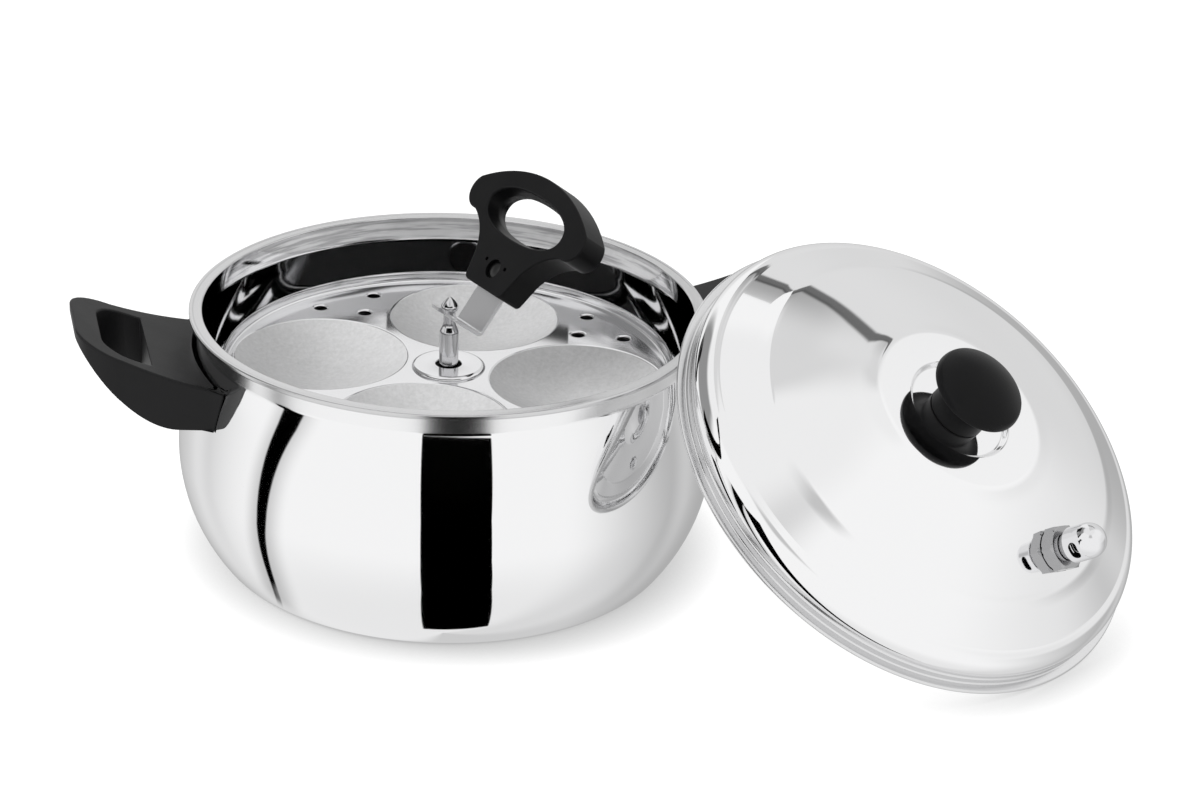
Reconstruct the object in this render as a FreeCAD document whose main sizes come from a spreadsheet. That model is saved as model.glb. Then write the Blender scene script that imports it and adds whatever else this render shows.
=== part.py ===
import FreeCAD
import Part
import math
import os
import re
import Sketcher

# Idli steamer: a bellied pot with two loop handles, a stand of three idli plates on a stem,
# a lifter hooked under the stem's head, and a domed lid that leans on the pot's lip.
# Millimetres, +Z up, origin at the centre of the pot's base.

SIZES = {
    # pot: thin bellied shell, straight neck, flat rolled lip
    "pot_height": "106.5",
    "pot_wall": "1.2",
    "belly_radius": "112.1",
    "belly_height": "47",
    "belly_lower_radius": "75",
    "knuckle_radius": "5",
    "neck_step": "10.6",
    "neck_radius": "=belly_radius - neck_step",
    "neck_height": "7.5",
    "lip_width": "4.3",
    "lip_thickness": "2.4",
    "lip_round": "1.1",
    # loop handles: each one is turned about the pot's axis
    "handle_turn": "15",
    "handle_length": "42",
    "handle_width": "76",
    "handle_tip_width": "60",
    "handle_corner": "17",
    "handle_drop": "5.5",
    "handle_root_height": "17",
    "handle_rise": "21",
    "handle_sweep_radius": "190",
    "handle_tip_height": "4",
    "handle_heel": "24",
    "handle_heel_height": "21",
    "opening_inset": "13",
    "opening_length": "18.5",
    "opening_width": "48",
    "opening_corner": "12",
    "bracket_width": "28",
    "bracket_height": "8",
    "bracket_reach": "6",
    "handle_screw_radius": "2.5",
    "handle_screw_head": "4.4",
    "handle_screw_head_height": "3",
    "handle_screw_length": "13.4",
    # stand: stem with a hooked head, foot, nut and loose spacers
    "rod_radius": "4",
    "rod_neck_radius": "2.5",
    "rod_neck_height": "5.5",
    "rod_neck_middle": "101.8",
    "rod_neck_below": "3.4",
    "rod_taper": "3.2",
    "head_radius": "3.6",
    "head_height": "6.5",
    "head_belly": "2.6",
    "head_tip": "0.5",
    "foot_radius": "28",
    "foot_thickness": "3",
    "stand_nut_flats": "15",
    "stand_nut_height": "6",
    "spacer_radius": "8",
    # idli plates
    "plate_gap": "6.5",
    "plate_radius": "=neck_radius - plate_gap",
    "plate_thickness": "1",
    "plate_level": "78",
    "plate_pitch": "26",
    "plate_rim_height": "5.5",
    "plate_rim_width": "3.5",
    "plate_boss_radius": "14.5",
    "plate_boss_height": "1.5",
    "plate_bore_radius": "5.65",
    "plate_turn": "82",
    "plate_stagger": "45",
    "cup_margin": "0.2",
    "cup_web": "3.48",
    "cup_ring": "=(plate_radius - plate_rim_width - cup_margin + cup_web / 2) / (1 + sin(45))",
    "cup_radius": "=cup_ring * sin(45) - cup_web / 2",
    "cup_depth": "12",
    "steam_hole_radius": "3.5",
    "steam_hole_margin": "13",
    "steam_hole_pitch": "15.5",
    "steam_hole_ring": "=plate_radius - steam_hole_margin",
    "steam_hole_inner_ring": "=steam_hole_ring - steam_hole_pitch",
    "steam_hole_spread": "9.5",
    # lifter: forked blade and grip, built upright and then tilted about the stem
    "lifter_turn": "34.9",
    "lifter_tilt": "37",
    "blade_width": "18.9",
    "blade_thickness": "1.5",
    "blade_bend_radius": "1",
    "prong_length": "4.8",
    "tab_length": "12",
    "tang_top": "36",
    "grip_bottom": "17",
    "grip_thickness": "12",
    "grip_bottom_width": "28",
    "grip_waist_width": "34",
    "grip_waist_height": "29",
    "grip_lobe_width": "66",
    "grip_lobe_height": "44",
    "grip_width": "80",
    "grip_shoulder_height": "57.5",
    "grip_top": "70",
    "grip_waist_radius": "26",
    "grip_lobe_round": "0.526",
    "finger_hole_width": "54",
    "finger_hole_end": "8",
    "finger_hole_height": "21",
    "finger_hole_middle": "51",
    "lifter_screw_height": "26.3",
    "lifter_screw_radius": "2",
    "lifter_screw_head": "3.7",
    "lifter_screw_head_height": "2",
    "lifter_screw_sunk": "1",
    "lifter_screw_length": "8.5",
    # lid: flange, wall, rounded shoulder, band, dome and a plateau with a well for the knob
    "lid_overlap": "4.5",
    "lid_radius": "=neck_radius + lid_overlap",
    "lid_wall": "1",
    "lid_flange": "1.6",
    "lid_flange_width": "4",
    "lid_wall_radius": "=lid_radius - lid_flange_width",
    "lid_wall_height": "7",
    "shoulder_radius": "8",
    "shoulder_width": "6",
    "crease_radius": "=lid_wall_radius - shoulder_width",
    "crease_height": "17.6",
    "band_width": "15.2",
    "step_radius": "=crease_radius - band_width",
    "step_height": "27",
    "step_drop": "1.2",
    "dome_radius": "195",
    "ring_radius": "38",
    "ring_rise": "1",
    "well_radius": "22.5",
    "well_depth": "2.5",
    "lid_turn": "43.4",
    "lid_spin": "5",
    "lid_offset": "101.7",
    "lid_climb": "0.6942",
    # knob
    "knob_base_radius": "12.2",
    "knob_neck_radius": "11.6",
    "knob_neck_height": "8",
    "knob_cap_radius": "19.3",
    "knob_cap_height": "14.5",
    "knob_cap_edge": "3",
    "knob_height": "25",
    "insert_radius": "4",
    "insert_length": "13",
    "knob_screw_radius": "2",
    "knob_screw_head": "4.5",
    "knob_screw_head_height": "3",
    "knob_screw_length": "11",
    "knob_washer_radius": "9",
    "knob_washer_thickness": "1.2",
    # steam vent
    "vent_margin": "14.1",
    "vent_ring": "=step_radius - vent_margin",
    "vent_radius": "5",
    "vent_bore": "2.5",
    "vent_flange_radius": "8.5",
    "vent_flange": "1.5",
    "vent_washer_thickness": "1",
    "vent_nut_flats": "17",
    "vent_nut_height": "6",
    "vent_thread": "3",
    "vent_grip": "2.6",
    "vent_cap_radius": "7.2",
    "vent_cap_wall": "1.2",
    "vent_cap_height": "15.1",
    "vent_slot_width": "7",
    "vent_slot_height": "4",
    "vent_slot_top": "8.2",
    "vent_slot_turn": "8",
    # fits and gaps
    "fit_gap": "0.1",
    "running_gap": "0.3",
    "fork_gap": "0.35",
    "floor_gap": "0.25",
    "lean_gap": "0.8",
    "cut_over": "1",
    # lean at which the lid rests on the floor and on the lip
    "lid_lean": "=asin((pot_height - lip_thickness / 2 - floor_gap) / (lid_radius * (1 + lid_climb))) / 1 deg",
}

doc = FreeCAD.newDocument("IdliSteamer")
sheet = doc.addObject("Spreadsheet::Sheet", "Sizes")
for row, (alias, number) in enumerate(SIZES.items(), start=1):
    sheet.set(f"A{row}", alias)
    sheet.set(f"B{row}", number)
    sheet.setAlias(f"B{row}", alias)
doc.recompute()

PIECES = []


def bound(text):
    """Expression text with each size name pointed at its cell."""
    def cell(match):
        word = match.group()
        return "Sizes." + word if word in SIZES else word
    return re.sub(r"[A-Za-z_]\w*", cell, text)


def value(text):
    return float(sheet.evalExpression(bound(text)))


def new_body(label):
    body = doc.addObject("PartDesign::Body", label)
    body.Label = label
    return body


def keep(piece, label):
    """Notes a finished piece under the name of its file."""
    piece.Label = label
    PIECES.append(piece)
    return piece


def new_sketch(body, name, role, offset=None):
    sketch = body.newObject("Sketcher::SketchObject", name)
    plane = next(part for part in body.Origin.OriginFeatures if part.Role == role)
    sketch.AttachmentSupport = (plane, "")
    sketch.MapMode = "FlatFace"
    if offset:
        sketch.setExpression(".AttachmentOffset.Base.z", bound(offset))
    return sketch


def hold_point(sketch, geometry, position, kind, text):
    """Holds one coordinate of a sketch point at a size expression."""
    if text == "0":
        axis = -2 if kind == "DistanceX" else -1
        sketch.addConstraint(Sketcher.Constraint("PointOnObject", geometry, position, axis))
        return
    index = sketch.addConstraint(
        Sketcher.Constraint(kind, -1, 1, geometry, position, value(text)))
    sketch.renameConstraint(index, f"{kind}_{index}")
    sketch.setExpression(f"Constraints.{kind}_{index}", bound(text))


def place_point(sketch, geometry, position, x, y):
    hold_point(sketch, geometry, position, "DistanceX", x)
    hold_point(sketch, geometry, position, "DistanceY", y)


def add_outline(sketch, corners, arcs=None):
    """Closed outline through the corners. arcs maps a side's number to its radius, or to "half"
    for a half circle: a side that bends to the left as it is travelled has a plain radius, one to
    the right a leading minus."""
    arcs = arcs or {}
    points = [FreeCAD.Vector(value(x), value(y), 0) for x, y in corners]
    sides = []
    for i, start in enumerate(points):
        end = points[(i + 1) % len(points)]
        if i not in arcs:
            geometry = sketch.addGeometry(Part.LineSegment(start, end))
            sides.append((geometry, 1, 2))
            continue
        text = arcs[i].lstrip("-")
        leftward = text == arcs[i]
        chord = end - start
        radius = chord.Length / 2 if text == "half" else value(text)
        across = FreeCAD.Vector(-chord.y, chord.x, 0).normalize()
        reach = math.sqrt(max(radius ** 2 - (chord.Length / 2) ** 2, 0))
        centre = (start + end) * 0.5 + across * (reach if leftward else -reach)
        first, last = (start, end) if leftward else (end, start)
        begin = math.atan2(first.y - centre.y, first.x - centre.x)
        finish = math.atan2(last.y - centre.y, last.x - centre.x)
        circle = Part.Circle(centre, FreeCAD.Vector(0, 0, 1), radius)
        geometry = sketch.addGeometry(Part.ArcOfCircle(circle, begin, finish))
        sides.append((geometry, 1, 2) if leftward else (geometry, 2, 1))
    for i, (geometry, start, end) in enumerate(sides):
        following, opening, _ = sides[(i + 1) % len(sides)]
        sketch.addConstraint(Sketcher.Constraint("Coincident", geometry, end, following, opening))
    for (geometry, start, end), (x, y) in zip(sides, corners):
        place_point(sketch, geometry, start, x, y)
    for i, text in arcs.items():
        if text.lstrip("-") == "half":
            x, y = corners[i]
            upright = abs(value(x) - value(corners[i + 1][0])) < 1e-6
            kind, middle = ("DistanceX", x) if upright else ("DistanceY", y)
            hold_point(sketch, sides[i][0], 3, kind, middle)
            continue
        index = sketch.addConstraint(
            Sketcher.Constraint("Radius", sides[i][0], value(text.lstrip("-"))))
        sketch.renameConstraint(index, f"Radius_{index}")
        sketch.setExpression(f"Constraints.Radius_{index}", bound(text.lstrip("-")))
    return sides


def add_circle(sketch, x, y, radius):
    centre = FreeCAD.Vector(value(x), value(y), 0)
    geometry = sketch.addGeometry(
        Part.Circle(centre, FreeCAD.Vector(0, 0, 1), value(radius)))
    place_point(sketch, geometry, 3, x, y)
    index = sketch.addConstraint(Sketcher.Constraint("Radius", geometry, value(radius)))
    sketch.renameConstraint(index, f"Radius_{index}")
    sketch.setExpression(f"Constraints.Radius_{index}", bound(radius))


def turned(body, name, corners, arcs=None, kind="Revolution", axis="V_Axis"):
    """A solid of revolution, or a Groove, from a radius and height outline."""
    sketch = new_sketch(body, name + "Outline", "XZ_Plane")
    add_outline(sketch, corners, arcs)
    feature = body.newObject("PartDesign::" + kind, name)
    feature.Profile = sketch
    feature.ReferenceAxis = (sketch, [axis])
    feature.Angle = 360
    sketch.Visibility = False
    doc.recompute()
    return feature


def padded(body, name, role, corners, length, arcs=None, offset=None):
    """A pad that lies evenly on both sides of its sketch."""
    sketch = new_sketch(body, name + "Outline", role, offset)
    add_outline(sketch, corners, arcs)
    pad = body.newObject("PartDesign::Pad", name)
    pad.Profile = sketch
    pad.setExpression("Length", bound(length))
    pad.SideType = "Symmetric"
    doc.recompute()
    return pad


def pocketed(body, name, sketch, length):
    """A pocket that cuts evenly on both sides of its sketch, and has to remove metal."""
    before = body.Shape.Volume
    pocket = body.newObject("PartDesign::Pocket", name)
    pocket.Profile = sketch
    pocket.setExpression("Length", bound(length))
    pocket.SideType = "Symmetric"
    doc.recompute()
    if body.Shape.Volume >= before:
        raise RuntimeError(f"{body.Label}: {name} cuts nothing")
    return pocket


def rounded(body, name, radius, chosen):
    """Fillets the edges that the test picks."""
    edges = [f"Edge{i}" for i, edge in enumerate(body.Shape.Edges, start=1) if chosen(edge)]
    fillet = body.newObject("PartDesign::Fillet", name)
    fillet.Base = (body.Tip if body.Tip != fillet else fillet.BaseFeature, edges)
    fillet.setExpression("Radius", bound(radius))
    doc.recompute()
    return fillet


def ring_at(radius, height):
    """Test for a circular edge about the axis, at a radius and a height."""
    def chosen(edge):
        if not isinstance(edge.Curve, Part.Circle):
            return False
        return (abs(edge.Curve.Radius - value(radius)) < 0.01
                and abs(edge.Curve.Center.z - value(height)) < 0.01)
    return chosen


def tube(label, inner, outer, low, high):
    body = new_body(label)
    turned(body, "Tube", [(inner, low), (outer, low), (outer, high), (inner, high)])
    return body


def hex_nut(label, flats, inner, low, high):
    """Hexagonal nut on the Z axis, its flats square to X."""
    body = new_body(label)
    sketch = new_sketch(body, "HexOutline", "XY_Plane", low)
    half = f"({flats}) / 2"
    corner = f"({flats}) / sqrt(3)"
    edge = f"({flats}) / sqrt(3) / 2"
    add_outline(sketch, [(half, "-" + edge), (half, edge), ("0", corner), ("-" + half, edge),
                         ("-" + half, "-" + edge), ("0", "-" + corner)])
    add_circle(sketch, "0", "0", inner)
    pad = body.newObject("PartDesign::Pad", "Hex")
    pad.Profile = sketch
    pad.setExpression("Length", bound(f"({high}) - ({low})"))
    doc.recompute()
    return body


# Pot shell: the belly is two arcs that meet upright at its widest ring, the upper one ending in
# a crease under the straight neck. The inside is the same outline, one wall smaller.
NECK_OUT = "(neck_radius + pot_wall)"
LIP_OUT = f"({NECK_OUT} + lip_width)"
LIP_LOW = "(pot_height - lip_thickness)"
NECK_LOW = f"({LIP_LOW} - neck_height)"
UPPER_RADIUS = (f"((({NECK_LOW} - belly_height)^2 + (belly_radius - {NECK_OUT})^2)"
                f" / (2 * (belly_radius - {NECK_OUT})))")


def lower_belly(offset, height):
    """Radius of the lower belly arc, moved out by an offset, at a height."""
    return (f"(belly_radius - belly_lower_radius + sqrt((belly_lower_radius + {offset})^2"
            f" - (belly_height - {height})^2))")


def upper_belly_height(offset, radius):
    """Height at which the upper belly arc, moved out by an offset, has a radius."""
    return (f"(belly_height + sqrt(({UPPER_RADIUS} + {offset})^2"
            f" - ({radius} - belly_radius + {UPPER_RADIUS})^2))")


def upper_belly(offset, height):
    """Radius of the upper belly arc, moved out by an offset, at a height."""
    return (f"(belly_radius - {UPPER_RADIUS} + sqrt(({UPPER_RADIUS} + {offset})^2"
            f" - ({height} - belly_height)^2))")


pot = new_body("pot_shell")
turned(pot, "Outside",
       [("0", "0"), (lower_belly("0", "0"), "0"), ("belly_radius", "belly_height"),
        (NECK_OUT, NECK_LOW), (NECK_OUT, LIP_LOW), (LIP_OUT, LIP_LOW), (LIP_OUT, "pot_height"),
        ("0", "pot_height")],
       {1: "belly_lower_radius", 2: UPPER_RADIUS})
turned(pot, "Inside",
       [("0", "pot_wall"), (lower_belly("(-pot_wall)", "pot_wall"), "pot_wall"),
        ("belly_radius - pot_wall", "belly_height"),
        ("neck_radius", upper_belly_height("(-pot_wall)", "neck_radius")),
        ("neck_radius", "pot_height + cut_over"), ("0", "pot_height + cut_over")],
       {1: "belly_lower_radius - pot_wall", 2: UPPER_RADIUS + " - pot_wall"}, kind="Groove")
rounded(pot, "Knuckle", "knuckle_radius", ring_at(lower_belly("0", "0"), "0"))
rounded(pot, "LipTop", "lip_round", ring_at(LIP_OUT, "pot_height"))
rounded(pot, "LipUnder", "lip_round", ring_at(LIP_OUT, LIP_LOW))
keep(pot, "pot_shell")

# Handles: a deep loop that sweeps up to its tip, cut to the belly at its root. A bracket welded
# on the belly stands in a pocket in the root, and a screw from the loop's opening draws it tight.
TIP = "(belly_radius + handle_length)"
ROOT_TOP = f"({NECK_LOW} - handle_drop)"
ROOT_LOW = f"({ROOT_TOP} - handle_root_height)"
TIP_TOP = f"({ROOT_TOP} + handle_rise)"
INNER_EDGE = "(belly_radius + opening_inset)"
OUTER_EDGE = f"({INNER_EDGE} + opening_length)"
BRACKET_END = "(belly_radius + bracket_reach)"
BRACKET_MIDDLE = f"({ROOT_LOW} + handle_root_height / 2)"
ROOT_IN = "(neck_radius - pot_wall)"
ROOT_DEEP = "(sqrt(neck_radius^2 - (handle_width / 2)^2) - pot_wall)"


def belly_cut(body, name, gap):
    """Trims a piece to the belly's outside, with a gap."""
    low = f"({ROOT_LOW} - handle_root_height)"
    high = f"({ROOT_TOP} + handle_rise)"
    turned(body, name,
           [("0", low), (upper_belly(gap, low), low), (upper_belly(gap, NECK_LOW), NECK_LOW),
            (f"{NECK_OUT} + {gap}", NECK_LOW), (f"{NECK_OUT} + {gap}", high), ("0", high)],
           {1: f"{UPPER_RADIUS} + {gap}"}, kind="Groove")


def handle(label, turn):
    body = new_body(label)
    padded(body, "Side", "XZ_Plane",
           [(ROOT_DEEP, ROOT_LOW), (f"{TIP} - handle_heel - handle_heel_height / 2", ROOT_LOW),
            (f"{TIP} - handle_heel", f"{ROOT_LOW} + handle_heel_height / 5"),
            (f"{TIP} - handle_tip_height", f"{TIP_TOP} - handle_tip_height * 3"),
            (TIP, f"{TIP_TOP} - handle_tip_height"), (f"{TIP} - handle_tip_height / 2", TIP_TOP),
            (ROOT_IN, ROOT_TOP), (ROOT_DEEP, ROOT_TOP)],
           "handle_width", {2: "handle_heel_height * 2", 5: "-handle_sweep_radius"})
    plan = new_sketch(body, "PlanOutline", "XY_Plane", ROOT_TOP)
    half = "handle_width / 2"
    tip = "handle_tip_width / 2"
    add_outline(plan, [(ROOT_DEEP, f"-{half}"), (f"{TIP} - handle_corner", f"-{tip}"),
                       (TIP, f"handle_corner - {tip}"), (TIP, f"{tip} - handle_corner"),
                       (f"{TIP} - handle_corner", tip), (ROOT_DEEP, half)],
                {1: "handle_corner", 3: "handle_corner"})
    add_outline(plan, [(f"{ROOT_DEEP} - cut_over", f"-{half} - cut_over"),
                       (f"{TIP} + cut_over", f"-{half} - cut_over"),
                       (f"{TIP} + cut_over", f"{half} + cut_over"),
                       (f"{ROOT_DEEP} - cut_over", f"{half} + cut_over")])
    depth = "4 * (handle_root_height + handle_rise)"
    pocketed(body, "Plan", plan, depth)
    loop = new_sketch(body, "OpeningOutline", "XY_Plane", ROOT_TOP)
    wide = "opening_width / 2"
    add_outline(loop, [(INNER_EDGE, f"-{wide}"), (f"{OUTER_EDGE} - opening_corner", f"-{wide}"),
                       (OUTER_EDGE, f"opening_corner - {wide}"),
                       (OUTER_EDGE, f"{wide} - opening_corner"),
                       (f"{OUTER_EDGE} - opening_corner", wide), (INNER_EDGE, wide)],
                {1: "opening_corner", 3: "opening_corner"})
    pocketed(body, "Opening", loop, depth)
    belly_cut(body, "BellySeat", "running_gap")
    seat = new_sketch(body, "BracketOutline", "XZ_Plane")
    low = f"{BRACKET_MIDDLE} - bracket_height / 2 - fit_gap"
    high = f"{BRACKET_MIDDLE} + bracket_height / 2 + fit_gap"
    add_outline(seat, [(ROOT_IN, low), (f"{BRACKET_END} + fit_gap", low),
                       (f"{BRACKET_END} + fit_gap", high), (ROOT_IN, high)])
    pocketed(body, "BracketPocket", seat, "bracket_width + 2 * fit_gap")
    for name, radius, reach in (
            ("ScrewHole", "handle_screw_radius + fit_gap", "0"),
            ("HeadHole", "handle_screw_head + running_gap", "1")):
        bore = new_sketch(body, name + "Outline", "YZ_Plane", INNER_EDGE)
        add_circle(bore, "0", BRACKET_MIDDLE, radius)
        deep = "handle_screw_head_height" if reach == "1" else "opening_inset - bracket_reach"
        pocketed(body, name, bore, f"2 * ({deep} + running_gap)")
    body.Placement = FreeCAD.Placement(
        FreeCAD.Vector(), FreeCAD.Rotation(FreeCAD.Vector(0, 0, 1), turn))
    return keep(body, label)


def handle_bracket(label, turn):
    body = new_body(label)
    padded(body, "Block", "XZ_Plane",
           [(ROOT_IN, f"{BRACKET_MIDDLE} - bracket_height / 2"),
            (BRACKET_END, f"{BRACKET_MIDDLE} - bracket_height / 2"),
            (BRACKET_END, f"{BRACKET_MIDDLE} + bracket_height / 2"),
            (ROOT_IN, f"{BRACKET_MIDDLE} + bracket_height / 2")], "bracket_width")
    belly_cut(body, "WeldSeat", "fit_gap / 2")
    bore = new_sketch(body, "ScrewHoleOutline", "YZ_Plane", BRACKET_END)
    add_circle(bore, "0", BRACKET_MIDDLE, "handle_screw_radius + fit_gap")
    pocketed(body, "ScrewHole", bore, "4 * handle_screw_length")
    body.Placement = FreeCAD.Placement(
        FreeCAD.Vector(), FreeCAD.Rotation(FreeCAD.Vector(0, 0, 1), turn))
    return keep(body, label)


def headed_pin(label, radius, head, head_height, length):
    """Screw on the Z axis: its head seat lies at zero, the shank runs down from it."""
    body = new_body(label)
    turned(body, "Pin", [("0", f"-({length})"), (radius, f"-({length})"), (radius, "0"),
                         (head, "0"), (head, f"{head_height} / 2"),
                         (f"{head} - {head_height} / 2", head_height), ("0", head_height)],
           {4: f"{head_height} / 2"})
    return body


def about_z(turn):
    return FreeCAD.Placement(FreeCAD.Vector(), FreeCAD.Rotation(FreeCAD.Vector(0, 0, 1), turn))


def about_y(turn):
    return FreeCAD.Placement(FreeCAD.Vector(), FreeCAD.Rotation(FreeCAD.Vector(0, 1, 0), turn))


def shifted(x, y, z):
    return FreeCAD.Placement(FreeCAD.Vector(x, y, z), FreeCAD.Rotation())


for side, turn in (("right", value("handle_turn")), ("left", value("handle_turn") + 180)):
    handle(f"handle_{side}", turn)
    handle_bracket(f"handle_bracket_{side}", turn)
    screw = headed_pin(f"handle_screw_{side}", "handle_screw_radius", "handle_screw_head",
                       "handle_screw_head_height", "handle_screw_length")
    seat = shifted(value(f"{INNER_EDGE} - handle_screw_head_height - running_gap"), 0,
                   value(BRACKET_MIDDLE))
    screw.Placement = about_z(turn) * seat * about_y(90)
    keep(screw, f"handle_screw_{side}")

# Stand: the stem passes through foot, nut, spacers and plates. Its head hooks the lifter's fork.
FOOT_TOP = "(pot_wall + foot_thickness)"
NUT_TOP = f"({FOOT_TOP} + stand_nut_height)"
NECK_TOP = "(rod_neck_middle - rod_neck_below + rod_neck_height)"
NECK_END = "(rod_neck_middle - rod_neck_below)"

rod = new_body("stand_rod")
turned(rod, "Stem",
       [("0", "pot_wall"), ("rod_radius", "pot_wall"), ("rod_radius", f"{NECK_END} - rod_taper"),
        ("rod_neck_radius", NECK_END), ("rod_neck_radius", NECK_TOP),
        ("head_radius", f"{NECK_TOP} + head_belly / 2"),
        ("head_radius", f"{NECK_TOP} + head_belly"), ("head_tip", f"{NECK_TOP} + head_height"),
        ("0", f"{NECK_TOP} + head_height")],
       {6: "head_height * 2"})
keep(rod, "stand_rod")
keep(tube("stand_foot", "rod_radius + fit_gap", "foot_radius", "pot_wall", FOOT_TOP),
     "stand_foot")
keep(hex_nut("stand_nut", "stand_nut_flats", "rod_radius + fit_gap", FOOT_TOP, NUT_TOP),
     "stand_nut")

LEVELS = (("lower", "2"), ("middle", "1"), ("upper", "0"))
below = NUT_TOP
for level, steps in LEVELS:
    boss_top = f"(plate_level - {steps} * plate_pitch + plate_boss_height)"
    keep(tube(f"spacer_{level}", "rod_radius + running_gap", "spacer_radius", below,
              f"({boss_top} - plate_thickness)"), f"spacer_{level}")
    below = boss_top


# Idli plates: a rimmed disc with a raised boss, four round cups and steam holes between them.
def idli_plate(label, steps, turn):
    body = new_body(label)
    thick = "plate_thickness"
    level = f"(plate_level - {steps} * plate_pitch)"
    rim_in = "(plate_radius - plate_rim_width)"
    turned(body, "Disc",
           [("plate_bore_radius", f"{level} + plate_boss_height - {thick}"),
            (f"plate_boss_radius - {thick}", f"{level} + plate_boss_height - {thick}"),
            (f"plate_boss_radius - {thick}", f"{level} - {thick}"),
            (rim_in, f"{level} - {thick}"),
            ("plate_radius", f"{level} - {thick} + plate_rim_width"),
            ("plate_radius", f"{level} + plate_rim_height"),
            (f"plate_radius - {thick}", f"{level} + plate_rim_height"),
            (f"plate_radius - {thick}", f"{level} - {thick} + plate_rim_width"),
            (rim_in, level), ("plate_boss_radius", level),
            ("plate_boss_radius", f"{level} + plate_boss_height"),
            ("plate_bore_radius", f"{level} + plate_boss_height")],
           {3: "plate_rim_width", 7: "-(plate_rim_width - plate_thickness)"})
    ball = "((cup_radius^2 + cup_depth^2) / (2 * cup_depth))"
    lip = f"(sqrt(({ball} + {thick})^2 - ({ball} - cup_depth)^2))"
    sketch = new_sketch(body, "CupOutline", "XZ_Plane")
    add_outline(sketch, [("cup_ring", level), ("cup_ring", f"{level} - cup_depth - {thick}"),
                         (f"cup_ring + {lip}", level)], {1: f"{ball} + {thick}"})
    bowl = body.newObject("PartDesign::Revolution", "Cup")
    bowl.Profile = sketch
    bowl.ReferenceAxis = (sketch, ["Edge1"])
    bowl.Angle = 360
    doc.recompute()
    sketch = new_sketch(body, "HollowOutline", "XZ_Plane")
    add_outline(sketch, [("cup_ring", level), ("cup_ring", f"{level} - cup_depth"),
                         ("cup_ring + cup_radius", level)], {1: ball})
    hollow = body.newObject("PartDesign::Groove", "CupHollow")
    hollow.Profile = sketch
    hollow.ReferenceAxis = (sketch, ["Edge1"])
    hollow.Angle = 360
    doc.recompute()
    holes = new_sketch(body, "SteamHoleOutline", "XY_Plane", level)
    for ring, spread in (("steam_hole_ring", "45 - steam_hole_spread"),
                         ("steam_hole_ring", "45 + steam_hole_spread"),
                         ("steam_hole_inner_ring", "45")):
        add_circle(holes, f"{ring} * cos({spread})", f"{ring} * sin({spread})",
                   "steam_hole_radius")
    steam = pocketed(body, "SteamHoles", holes, "4 * plate_thickness")
    around = body.newObject("PartDesign::PolarPattern", "Around")
    around.Originals = [bowl, hollow, steam]
    around.Axis = (sketch, ["V_Axis"])
    around.Angle = 360
    around.Occurrences = 4
    body.Tip = around
    doc.recompute()
    body.Placement = about_z(turn)
    return keep(body, label)


for level, steps in LEVELS:
    turn = value("plate_turn") + (value("plate_stagger") if level == "middle" else 0)
    idli_plate(f"idli_plate_{level}", steps, turn)

# Lifter: built with its fork level about the stem's axis, then tilted at the stem's neck.
LIFTER = (shifted(0, 0, value("rod_neck_middle")) * about_z(value("lifter_turn"))
          * about_y(value("lifter_tilt")))

blade = new_body("lifter_blade")
HALF = "blade_thickness / 2"
LEG_IN = f"(tab_length - {HALF})"
LEG_OUT = f"(tab_length + {HALF})"
BEND_OUT = "(blade_bend_radius + blade_thickness)"
padded(blade, "Strip", "XZ_Plane",
       [("-prong_length", f"-{HALF}"), (f"{LEG_OUT} - {BEND_OUT}", f"-{HALF}"),
        (LEG_OUT, f"{BEND_OUT} - {HALF}"), (LEG_OUT, "tang_top"), (LEG_IN, "tang_top"),
        (LEG_IN, f"{HALF} + blade_bend_radius"), (f"{LEG_IN} - blade_bend_radius", HALF),
        ("-prong_length", HALF)],
       "blade_width", {1: BEND_OUT, 5: "-blade_bend_radius"})
FORK = "(rod_neck_radius + fork_gap)"
FORK_END = f"({FORK} / cos(lifter_tilt) + {HALF} * tan(lifter_tilt) - {FORK})"
fork = new_sketch(blade, "ForkOutline", "XY_Plane")
add_outline(fork, [(FORK_END, f"-{FORK}"), (FORK_END, FORK), ("-prong_length - cut_over", FORK),
                   ("-prong_length - cut_over", f"-{FORK}")], {0: "half"})
pocketed(blade, "Fork", fork, "4 * blade_thickness")
bore = new_sketch(blade, "ScrewHoleOutline", "YZ_Plane", "tab_length")
add_circle(bore, "0", "lifter_screw_height", "lifter_screw_radius + fit_gap")
pocketed(blade, "ScrewHole", bore, "4 * blade_thickness")
blade.Placement = LIFTER
keep(blade, "lifter_blade")

grip = new_body("lifter_grip")
TOP_RISE = "(grip_top - grip_shoulder_height)"
TOP_RADIUS = f"(((grip_width / 2)^2 + {TOP_RISE}^2) / (2 * {TOP_RISE}))"
LOBE_RADIUS = ("(grip_lobe_round * sqrt(((grip_width - grip_lobe_width) / 2)^2"
               " + (grip_shoulder_height - grip_lobe_height)^2))")
padded(grip, "Outline", "YZ_Plane",
       [("-grip_bottom_width / 2", "grip_bottom"), ("grip_bottom_width / 2", "grip_bottom"),
        ("grip_waist_width / 2", "grip_waist_height"),
        ("grip_lobe_width / 2", "grip_lobe_height"), ("grip_width / 2", "grip_shoulder_height"),
        ("-grip_width / 2", "grip_shoulder_height"),
        ("-grip_lobe_width / 2", "grip_lobe_height"),
        ("-grip_waist_width / 2", "grip_waist_height")],
       "grip_thickness",
       {2: "-grip_waist_radius", 3: LOBE_RADIUS, 4: TOP_RADIUS, 5: LOBE_RADIUS,
        6: "-grip_waist_radius"}, offset="tab_length")
hole = new_sketch(grip, "FingerHoleOutline", "YZ_Plane", "tab_length")
CROWN = "((finger_hole_height - finger_hole_end) / 2)"
ARCH = f"(((finger_hole_width / 2)^2 + {CROWN}^2) / (2 * {CROWN}))"
low = "finger_hole_middle - finger_hole_end / 2"
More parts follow.
